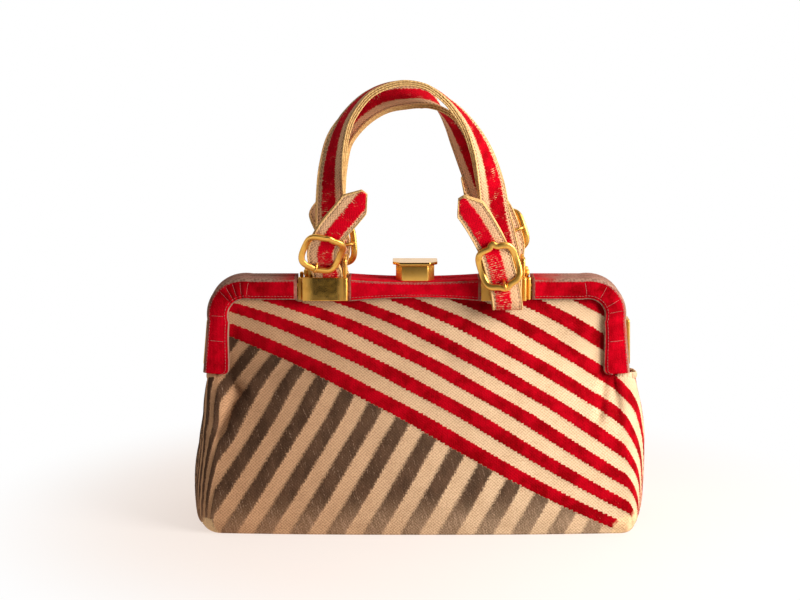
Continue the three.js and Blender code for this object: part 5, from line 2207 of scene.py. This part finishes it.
def pile_group() -> bpy.types.NodeTree:
    """Velvet pile: patches where the pile lies another way, a fine grain, flecks of the weave below, and a
    deeper tone with painted shade given as an input.
    """
    tones = {"Bright": "Color", "Deep": "Color", "Fleck": "Color"}
    tree, graph = shader_group(
        "velvet pile", {"Place": "Vector", **tones, "Worn": "Float", "Nap": "Float"},
        {"Colour": "Color", "Height": "Float"},
    )
    given = graph.node("NodeGroupInput").outputs
    patch = graph.ramp(graph.noise(given["Place"], 11.0, 3.0, 0.6), 0.34, 0.66)
    grain = graph.noise(given["Place"], 0.75, 2.0, 0.7)
    streak = graph.noise(graph.stretched(given["Place"], (1.0, 0.1, 1.0), 0.12), 0.8, 1.0)
    # The input deepens the tone: the pile's own tone with painted shade, and painted light below 0.
    deep = graph.sum(
        graph.scaled(patch, 0.4, 0.05), graph.scaled(grain, 0.5), graph.scaled(streak, 0.3), given["Nap"],
    )
    colour = graph.blend(graph.math("SUBTRACT", deep, 0.4, clamp=True), given["Bright"], given["Deep"])
    bare = graph.less(graph.sum(graph.scaled(grain, 0.55), graph.scaled(streak, 0.45)), given["Worn"])
    colour = graph.blend(graph.scaled(graph.ramp(bare, 0.16, 0.06), 0.75), colour, given["Fleck"])
    height = graph.sum(grain, graph.scaled(streak, 0.6))
    graph.node("NodeGroupOutput", {"Colour": colour, "Height": height})
    return tree


class PileTones(NamedTuple):
    """A pile's colours: where it is lit, deep between its tufts, and where the weave shows through."""

    bright: Colour
    deep: Colour
    fleck: Colour


@dataclass(frozen=True)
class Tones:
    """The colours of the cloth, the thread and the gold."""

    red: PileTones = PileTones(
        Colour(0.60, 0.001, 0.012), Colour(0.17, 0.0, 0.001), Colour(0.62, 0.36, 0.22),
    )
    grey: PileTones = PileTones(
        Colour(0.13, 0.066, 0.038), Colour(0.018, 0.008, 0.005), Colour(0.30, 0.19, 0.13),
    )
    ground: Colour = Colour(0.60, 0.335, 0.18)
    # Painted light: a lighter copy of the ground, for its side towards the light.
    ground_painted_lit: Colour = Colour(0.71, 0.50, 0.315)
    # Partly painted light: pale bare weave at the worn corners, lightened so that the left corner, which
    # faces away from the light, still looks pale.
    ground_bare: Colour = Colour(0.95, 0.66, 0.36)
    ground_dark: Colour = Colour(0.27, 0.13, 0.062)
    # Painted light: a lighter copy of the dark weave for the same side; the worn corners use it too.
    ground_worn: Colour = Colour(0.36, 0.20, 0.095)
    taupe: Colour = Colour(0.34, 0.20, 0.14)
    # Dark weave of the taupe backing, and also the painted shade in the strap's side grooves.
    taupe_dark: Colour = Colour(0.07, 0.03, 0.022)
    strap: Colour = Colour(0.80, 0.47, 0.26)
    strap_dark: Colour = Colour(0.34, 0.175, 0.09)
    edge: Colour = Colour(0.74, 0.47, 0.19)
    edge_dark: Colour = Colour(0.42, 0.22, 0.075)
    sheen: Colour = Colour(1.0, 0.8, 0.7)
    red_sheen: Colour = Colour(1.0, 0.12, 0.18)
    pale_thread: Colour = Colour(0.40, 0.15, 0.13)
    dark_thread: Colour = Colour(0.17, 0.10, 0.04)
    gold: Colour = Colour(0.89, 0.49, 0.105)
    tarnish: Colour = Colour(0.58, 0.27, 0.04)


@dataclass(frozen=True)
class GoldFinish:
    """Gold plate: its roughness where clean, how light it is, and how much rougher a bracket's ends are."""

    name: str
    rough: float
    shade: float
    rubbed_ends: float = 0.0


class BareCorner(NamedTuple):
    """A lower corner of the front that is rubbed bare: its place and how far the wear reaches, in metres."""

    place: tuple[float, float, float]
    reach: float


BARE_CORNERS = (BareCorner((0.137, -0.050, 0.001), 0.014), BareCorner((-0.137, -0.052, 0.001), 0.010))


@dataclass
class Finishes:
    """All the materials, with the node groups that they share."""

    pattern: StripePattern
    tones: Tones = Tones()

    def __post_init__(self) -> None:
        """Makes the groups, then the materials."""
        self.weave_tree, self.pile_tree = weave_group(), pile_group()
        self.striped = self.striped_velvet()
        self.sleeve = self.sleeve_velvet()
        self.strap = self.strap_velvet()
        self.base = self.base_cloth()
        self.gold = self.gold_plate(GoldFinish("polished gold", 0.1, 1.0))
        self.satin = self.gold_plate(GoldFinish("satin gold", 0.31, 0.95))
        self.plate = self.gold_plate(GoldFinish("plate gold", 0.1, 1.0, 0.4))
        self.pale_thread = self.thread("pale thread", self.tones.pale_thread)
        self.dark_thread = self.thread("dark thread", self.tones.dark_thread)

    def weave(
        self, graph: Graph, place: Socket, light: Colour | Socket, dark: Colour | Socket,
    ) -> bpy.types.NodeOutputs:
        """The weave group in a material."""
        inputs = {"Place": place, "Light": light, "Dark": dark}
        return graph.node("ShaderNodeGroup", inputs, node_tree=self.weave_tree).outputs

    def pile(
        self, graph: Graph, place: Socket, tones: PileTones, worn: Socket | float, tone_and_painted_shade: Socket | float,
    ) -> bpy.types.NodeOutputs:
        """The pile group in a material, deeper by its tone and painted shade, and lighter as painted light
        below 0.
        """
        inputs = {
            "Place": place, "Bright": tones.bright, "Deep": tones.deep, "Fleck": tones.fleck,
            "Worn": worn, "Nap": tone_and_painted_shade,
        }
        return graph.node("ShaderNodeGroup", inputs, node_tree=self.pile_tree).outputs

    def cloth_shader(
        self, graph: Graph, colour: Socket, height: Socket, bump: float, sheen: float,
        tint: Colour | None = None,
    ) -> None:
        """Ends a cloth material: rough, with a soft sheen and the threads as bump.

        Args:
            graph: the material's graph.
            colour: the cloth's colour.
            height: the height of its threads and pile.
            bump: how strongly the height shows.
            sheen: the weight of the sheen.
            tint: the sheen's colour, that of plain cloth if left out.
        """
        shader = graph.node("ShaderNodeBsdfPrincipled", {
            "Base Color": colour, "Normal": graph.bump(height, bump, 0.5), "Roughness": 0.95,
            "Specular IOR Level": 0.02, "Sheen Weight": sheen, "Sheen Roughness": 0.45,
            "Sheen Tint": tint or self.tones.sheen,
        })
        graph.end(shader.outputs[0])

    def stripe(self, graph: Graph, count: Socket, soft: float) -> Socket:
        """1 within a quarter of the pitch of a stripe's middle, and 0 outside."""
        away = graph.math("ABSOLUTE", graph.less(count, graph.math("ROUND", count)))
        return graph.ramp(away, self.pattern.half + soft, self.pattern.half - soft)

    def stripes(self, graph: Graph, flat: Socket, thread: float = 1.5 * MM) -> tuple[Socket, Socket]:
        """Where the red stripes and the grey ones lie, with ragged edges that step with the threads.

        Args:
            graph: the material's graph.
            flat: the flat place on the cloth.
            thread: the pitch of the threads in metres.

        Returns:
            The masks of the red and of the grey stripes.
        """
        pattern = self.pattern
        wobble = graph.noise(flat, 1.6, 2.0, 0.7)
        snapped = graph.vector_math("SNAP", flat, (thread, thread, 1.0))[0]
        x, y, _ = (
            graph.sum(graph.scaled(smooth, 0.45), graph.scaled(stepped, 0.55))
            for smooth, stepped in zip(graph.split(flat), graph.split(snapped))
        )
        across = graph.scaled(x, 1 / (pattern.wide * MM))
        up = graph.scaled(y, 1 / (pattern.tall * MM), -1.0)
        red = pattern.red.at(graph.largest(across, -pattern.red_reach), up, graph.scaled)
        red = graph.sum(red, graph.scaled(wobble, 0.07, -0.035))
        grey = graph.sum(pattern.grey.at(across, up, graph.scaled), graph.scaled(wobble, 0.2, -0.1))
        above = graph.ramp(red, -pattern.half - 0.01, -pattern.half + 0.01)
        return (
            graph.product(self.stripe(graph, red, 0.012), above),
            graph.product(self.stripe(graph, grey, 0.05), graph.less(1.0, above)),
        )

    def striped_velvet(self) -> bpy.types.Material:
        """Red and grey pile stripes on the bare weave, worn at the corners, the ground painted lighter to the
        right.
        """
        material, graph = new_material("striped velvet")
        tones, flat = self.tones, graph.flat()
        x, y, _ = graph.split(flat)
        red_mask, grey_mask = self.stripes(graph, flat)
        low = graph.ramp(y, 30 * MM, 2 * MM)
        # Painted light: the ground is drawn lighter to the right; the same ramp paints the red pile deeper
        # there as painted shade.
        painted_light_ramp = graph.ramp(x, -140 * MM, 80 * MM)
        light = graph.blend(painted_light_ramp, tones.ground, tones.ground_painted_lit)
        dark = graph.blend(painted_light_ramp, tones.ground_dark, tones.ground_worn)
        weave = self.weave(graph, flat, light, dark)
        rubbed = graph.scaled(graph.ramp(x, 30 * MM, 120 * MM), 0.13, 0.05)
        red = self.pile(graph, flat, tones.red, rubbed, graph.scaled(painted_light_ramp, 0.2, 0.25))
        slanted = graph.stretched(flat, (1.0, 0.5, 1.0), radians(-32))
        grey = self.pile(graph, slanted, tones.grey, graph.scaled(low, 0.1, 0.27), 0.3)
        grey_share = graph.product(grey_mask, graph.scaled(low, -0.35, 0.95))
        colour = graph.blend(grey_share, weave["Colour"], grey["Colour"])
        colour = graph.blend(red_mask, colour, red["Colour"])
        # The worn corners take the pale weave, lightened as painted light for the shaded left corner.
        bare = self.weave(graph, flat, tones.ground_bare, tones.ground_worn)
        colour = graph.blend(self.bare_corners(graph), colour, bare["Colour"])
        tufts = graph.product(graph.largest(red_mask, grey_mask), graph.scaled(red["Height"], 1.2, 0.6))
        self.cloth_shader(graph, colour, graph.sum(weave["Height"], tufts), 0.55, 0.03)
        return material

    def bare_corners(self, graph: Graph) -> Socket:
        """1 where the lower corners of the front are rubbed down to the ground, with a ragged edge.

        Args:
            graph: the material's graph.

        Returns:
            The mask.
        """
        place = graph.place()
        ragged = graph.scaled(graph.noise(place, 4.0, 3.0, 0.6), -12 * MM, 6 * MM)
        spots = []
        for corner in BARE_CORNERS:
            away = graph.vector_math("DISTANCE", place, corner.place)["Value"]
            spots.append(graph.ramp(graph.sum(away, ragged), corner.reach, 0.75 * corner.reach))
        return graph.scaled(graph.largest(*spots), 0.85)

    def sleeve_velvet(self) -> bpy.types.Material:
        """Red velvet, worn to its brown backing along the top, the edges and the cut ends, and drawn deeper
        in places as painted shade.
        """
        material, graph = new_material("sleeve velvet")
        tones, place = self.tones, graph.place()
        from_end, zone, _ = graph.split(graph.flat())
        ragged = graph.scaled(graph.noise(place, 1.6, 3.0, 0.7), 0.3, -0.15)
        zone = graph.sum(graph.scaled(zone, 1 / MM), ragged)
        x, _, z = graph.split(place)
        sides = graph.ramp(graph.math("ABSOLUTE", x), 74 * MM, 100 * MM)
        reach = graph.scaled(graph.ramp(z, 152 * MM, 159 * MM), 0.3, 1.58)
        line = graph.scaled(graph.product(graph.ramp(zone, 1.48, 1.6), graph.ramp(zone, 1.8, 1.7)), 0.8)
        strip = graph.product(graph.ramp(graph.less(reach, zone), -0.06, 0.06), sides)
        inner = graph.ramp(zone, 3.2, 3.4)
        cut = graph.scaled(graph.ramp(graph.scaled(from_end, 1 / MM), 2.2, 1.5), 0.75)
        whole = graph.ramp(graph.noise(place, 20.0, 2.0), 0.2, 0.42)
        backing = graph.product(graph.largest(line, strip, inner, cut), whole)
        # Tone with painted shade: the red is drawn deeper right of the middle, towards the left end and on
        # the upper corners, over patchy noise.
        bar = graph.product(graph.ramp(z, 138 * MM, 150 * MM), sides)
        lean = graph.sum(
            graph.scaled(graph.largest(x, 0.0), 2.4, -0.1), graph.scaled(bar, 0.27),
            graph.scaled(graph.ramp(x, -30 * MM, -70 * MM), 0.25),
            graph.scaled(graph.noise(place, 4.0, 3.0, 0.7), 0.7, -0.35),
        )
        pile = self.pile(graph, place, tones.red, 0.05, lean)
        weave = self.weave(graph, graph.stretched(place, (0.7, 0.7, 0.7), 0.4), tones.taupe, tones.taupe_dark)
        colour = graph.blend(backing, pile["Colour"], weave["Colour"])
        height = graph.sum(pile["Height"], graph.scaled(weave["Height"], 0.4))
        self.cloth_shader(graph, colour, height, 0.5, 0.1, tones.red_sheen)
        return material

    def strap_velvet(self) -> bpy.types.Material:
        """A red pile stripe with a combed edge down the middle, bare weave beside it and golden edges, with
        painted light and shade on the red and painted shade in the side grooves.
        """
        material, graph = new_material("strap velvet")
        tones, place, flat = self.tones, graph.place(), graph.flat()
        combed = graph.noise(graph.stretched(flat, (1.0, 0.05, 1.0)), 0.7, 1.0)
        fringe = graph.noise(graph.stretched(flat, (1.0, 0.12, 1.0)), 0.45, 0.0)
        frayed = graph.sum(
            graph.attribute("stray"), graph.scaled(combed, 1.8, -0.9), graph.scaled(fringe, 2.4, -1.2),
        )
        along, _, _ = graph.split(flat)
        rows = graph.ramp(graph.math("SINE", graph.scaled(along, 2 * pi / (1.3 * MM))), -0.4, 0.6)
        right, depth, high = graph.split(place)
        low = graph.scaled(graph.ramp(high, 182 * MM, 172 * MM), 0.2)
        handled = graph.ramp(graph.sum(graph.noise(flat, 6.0, 2.0), low), 0.55, 0.72)
        broken = graph.ramp(graph.noise(graph.stretched(flat, (1.0, 0.4, 1.0)), 0.9, 1.0), 0.42, 0.62)
        rubbed = graph.product(rows, broken, handled)
        red = graph.product(graph.ramp(frayed, 5.5, 4.5), graph.scaled(rubbed, -0.8, 1.0))
        # Tone with painted light and shade: the red is drawn lighter where the strap stands well in front of
        # the bag, and deeper to the right where it lies near the bag.
        raised = graph.ramp(depth, -24 * MM, -14 * MM)
        lean = graph.product(graph.ramp(right, 0.0, 40 * MM), raised)
        tone_and_painted_shade = graph.sum(graph.scaled(lean, 0.3), graph.scaled(raised, 0.25, -0.25))
        pile = self.pile(graph, flat, tones.red, graph.scaled(low, 0.5, 0.06), tone_and_painted_shade)
        weave = self.weave(graph, flat, tones.strap, tones.strap_dark)
        edge = self.weave(graph, place, tones.edge, tones.edge_dark)
        colour = graph.blend(red, weave["Colour"], pile["Colour"])
        colour = graph.blend(graph.ramp(graph.attribute("margin"), 1.3, 0.9), colour, edge["Colour"])
        # Painted shade: the groove down each side is darkened.
        colour = graph.blend(graph.scaled(graph.attribute("groove"), 0.85), colour, tones.taupe_dark)
        tufts = graph.product(red, graph.scaled(pile["Height"], 1.0, 0.6))
        self.cloth_shader(graph, colour, graph.sum(weave["Height"], tufts), 0.5, 0.03)
        return material

    def base_cloth(self) -> bpy.types.Material:
        """Plain worn weave, painted lighter to the right as painted light."""
        material, graph = new_material("base cloth")
        tones, place = self.tones, graph.place()
        x, _, _ = graph.split(place)
        # Painted light: the weave is drawn lighter to the right.
        light = graph.blend(graph.ramp(x, -50 * MM, 120 * MM), tones.ground, tones.ground_painted_lit)
        weave = self.weave(graph, place, light, tones.ground_dark)
        dust = graph.ramp(graph.noise(place, 30.0, 4.0, 0.6), 0.4, 0.7)
        colour = graph.blend(graph.scaled(dust, 0.3), weave["Colour"], tones.taupe)
        self.cloth_shader(graph, colour, weave["Height"], 0.5, 0.05)
        return material

    def gold_plate(self, finish: GoldFinish) -> bpy.types.Material:
        """Gold plate with faint tarnish and fine rubbing marks.

        Args:
            finish: the kind of gold.

        Returns:
            The material.
        """
        material, graph = new_material(finish.name)
        place = graph.place()
        tarnish = graph.ramp(graph.noise(place, 6.0, 4.0, 0.65), 0.45, 0.75)
        rubbed = graph.noise(graph.stretched(place, (1.0, 1.0, 0.08), 0.5), 0.5, 2.0)
        uneven = graph.noise(place, 7.0, 1.0)
        clean, dull = (tone.darker(finish.shade) for tone in (self.tones.gold, self.tones.tarnish))
        colour = graph.blend(graph.scaled(tarnish, 0.5), clean, dull)
        rough = graph.sum(graph.scaled(tarnish, 0.06, finish.rough), graph.scaled(rubbed, 0.05))
        if finish.rubbed_ends:
            x, _, _ = graph.split(place)
            from_middle = graph.math("ABSOLUTE", graph.less(x, Bracket.shift * MM))
            off = graph.math("ABSOLUTE", graph.less(from_middle, PinPlace.x * MM))
            ends = graph.ramp(graph.sum(off, graph.scaled(uneven, 4 * MM, -2 * MM)), 7 * MM, 13.5 * MM)
            rough = graph.sum(rough, graph.scaled(ends, finish.rubbed_ends))
        height = graph.sum(graph.scaled(rubbed, 0.04), uneven)
        shader = graph.node("ShaderNodeBsdfPrincipled", {
            "Base Color": colour, "Metallic": 1.0, "Roughness": rough,
            "Normal": graph.bump(height, 0.8, 0.09),
        })
        graph.end(shader.outputs[0])
        return material

    def thread(self, name: str, tone: Colour) -> bpy.types.Material:
        """Sewing thread with twisted plies.

        Args:
            name: the material's name.
            tone: the thread's colour.

        Returns:
            The material.
        """
        material, graph = new_material(name)
        twist = graph.noise(graph.place(), 0.5, 1.0)
        colour = graph.blend(graph.ramp(twist, 0.4, 0.65), tone, tone.darker(0.45))
        self.cloth_shader(graph, colour, twist, 0.3, 0.1)
        return material


# Studio


@dataclass(frozen=True)
class Softbox:
    """A square light: where it stands, its size in metres, its power, its tint and what it points at."""

    name: str
    place: tuple[float, float, float]
    size: float
    power: float
    tint: Colour = Colour(1.0, 1.0, 1.0)
    aim: tuple[float, float, float] = (0.0, 0.0, 0.12)

    def build(self) -> None:
        """Makes the light."""
        lamp = bpy.data.lights.new(self.name, "AREA")
        lamp.size, lamp.energy, lamp.color = self.size, self.power, self.tint
        holder = bpy.data.objects.new(self.name, lamp)
        holder.location = self.place
        holder.rotation_euler = (Vector(self.aim) - Vector(self.place)).to_track_quat("-Z", "Y").to_euler()
        bpy.context.scene.collection.objects.link(holder)


@dataclass
class Studio:
    """The camera at the photograph's angle, a pale floor and soft light, in metres."""

    target: tuple[float, float, float] = (-0.0109, 0.0, 0.144)
    distance: float = 1.25
    pitch: float = radians(10)
    lens: float = 85.0
    sensor: float = 36.0
    floor_reach: float = 0.8
    # Painted light: the floor's warm colour near the bag, standing in for bounce light.
    floor_painted_bounce: Colour = Colour(0.96, 0.91, 0.88)
    floor_far: Colour = Colour(0.95, 0.93, 0.92)
    floor_dim: Colour = Colour(0.2, 0.18, 0.16)
    # Painted light: the floor's warm glow near the bag, standing in for bounce light.
    glow_painted_bounce: Colour = Colour(0.97, 0.86, 0.79)
    room: Colour = Colour(1.0, 0.985, 0.96)
    white: Colour = Colour(1.0, 1.0, 1.0)
    lights: tuple[Softbox, ...] = (
        Softbox("key", (0.55, -0.32, 0.37), 0.42, 9.0, Colour(1.0, 0.97, 0.94)),
        Softbox("fill", (-1.0, -1.1, 0.9), 1.2, 0.9, Colour(1.0, 0.80, 0.62)),
        Softbox("top", (0.1, 0.2, 1.3), 1.0, 2.6),
    )

    def camera(self) -> None:
        """The camera, level across and looking down by the pitch."""
        back = Vector((0.0, -cos(self.pitch), sin(self.pitch)))
        lens = bpy.data.cameras.new("camera")
        lens.lens, lens.sensor_width, lens.sensor_fit = self.lens, self.sensor, "HORIZONTAL"
        camera = bpy.data.objects.new("camera", lens)
        camera.location = Vector(self.target) + self.distance * back
        camera.rotation_euler = (-back).to_track_quat("-Z", "Y").to_euler()
        bpy.context.scene.collection.objects.link(camera)
        bpy.context.scene.camera = camera

    def floor(self) -> None:
        """A round glowing floor, painted warm near the bag as bounce light and white at its edge; its front
        mirrors dimly in the gold.
        """
        sides = 96
        radius = np.concatenate([[0.001], np.linspace(0.02, self.floor_reach, 40)])[:, None] / MM
        angle = np.linspace(0, 2 * pi, sides, endpoint=False)[None]
        rings = np.broadcast_arrays(radius * np.cos(angle), radius * np.sin(angle), 0 * radius)
        surface = woven(np.stack(rings, axis=-1), np.zeros((len(radius), sides + 1, 2)), wraps=True).turned()
        material, graph = new_material("floor")
        place = graph.place()
        far = graph.ramp(graph.vector_math("LENGTH", place)["Value"], 0.14, 0.32)
        _, depth, _ = graph.split(place)
        unseen = graph.scaled(graph.node("ShaderNodeLightPath").outputs["Is Camera Ray"], -1.0, 1.0)
        dim = graph.product(graph.ramp(depth, -0.34, -0.7), unseen)
        colour = graph.blend(dim, graph.blend(far, self.floor_painted_bounce, self.floor_far), self.floor_dim)
        cloth = graph.node("ShaderNodeBsdfDiffuse", {"Color": colour}).outputs[0]
        glow = graph.blend(far, self.glow_painted_bounce, self.white)
        light = {"Color": glow, "Strength": graph.scaled(dim, -0.6, 1.0)}
        white = graph.node("ShaderNodeEmission", light).outputs[0]
        graph.end(graph.mix(graph.scaled(far, 0.25, 0.75), cloth, white))
        surface.make("floor", material)

    def sky(self) -> None:
        """White behind the bag for the camera; for all else a room, bright above and dim in front."""
        world = bpy.data.worlds.new("studio")
        world.use_nodes = True
        graph = Graph(world.node_tree)
        x, y, z = graph.split(graph.node("ShaderNodeTexCoord").outputs["Generated"])
        sides = graph.math("POWER", graph.math("ABSOLUTE", x), 3.0)
        lit = graph.sum(graph.scaled(z, 0.25), graph.scaled(y, 0.85), graph.scaled(sides, 0.3), 0.06)
        room, white = (
            graph.node("ShaderNodeBackground", {"Color": colour, "Strength": level}).outputs[0]
            for colour, level in ((self.room, graph.largest(lit, 0.03)), (self.white, 1.0))
        )
        seen = graph.node("ShaderNodeLightPath").outputs["Is Camera Ray"]
        graph.node("ShaderNodeOutputWorld", {"Surface": graph.mix(seen, room, white)})
        bpy.context.scene.world = world

    def build(self) -> None:
        """Sets up the picture."""
        self.camera()
        self.floor()
        self.sky()
        for light in self.lights:
            light.build()
        bpy.context.scene.view_settings.view_transform = "Standard"


def main() -> None:
    """Builds the bag's pieces in order, then the studio."""
    logging.basicConfig(level=logging.INFO, format="%(message)s")
    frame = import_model()
    path, pattern, pin = FramePath(), StripePattern(), PinPlace()
    finishes = Finishes(pattern)
    Studio().build()

    walls = tuple(WallCloth(side, path, pattern, finishes.striped, finishes.base) for side in Side)
    for wall in walls:
        wall.build()
    BasePanel(walls, finishes.base).build()
    Sleeve(path, finishes.sleeve, finishes.pale_thread).build_all()
    buckle = Buckle(finishes.satin)
    for side in Side:
        handle = Handle(side, finishes.strap, finishes.dark_thread, pin)
        handle.build()
        route = ROUTES[side]
        left = handle.station(route.left_buckle)
        buckle.build(left, side, End.LEFT, route.left_skew, route.left_lift, route.left_bumps)
        buckle.build(handle.station(handle.right_start + route.right_buckle), side, End.RIGHT)
    Bracket(finishes.plate, finishes.satin, pin).build_all()
    Clasp(finishes.gold, finishes.satin).build()
    SidePlate(finishes.satin, path).build_all()
    for name in ("frame_front", "frame_back"):
        materials = frame["nodes"][name].data.materials
        materials.clear()
        materials.append(finishes.gold)


if __name__ == "__main__":
    main()
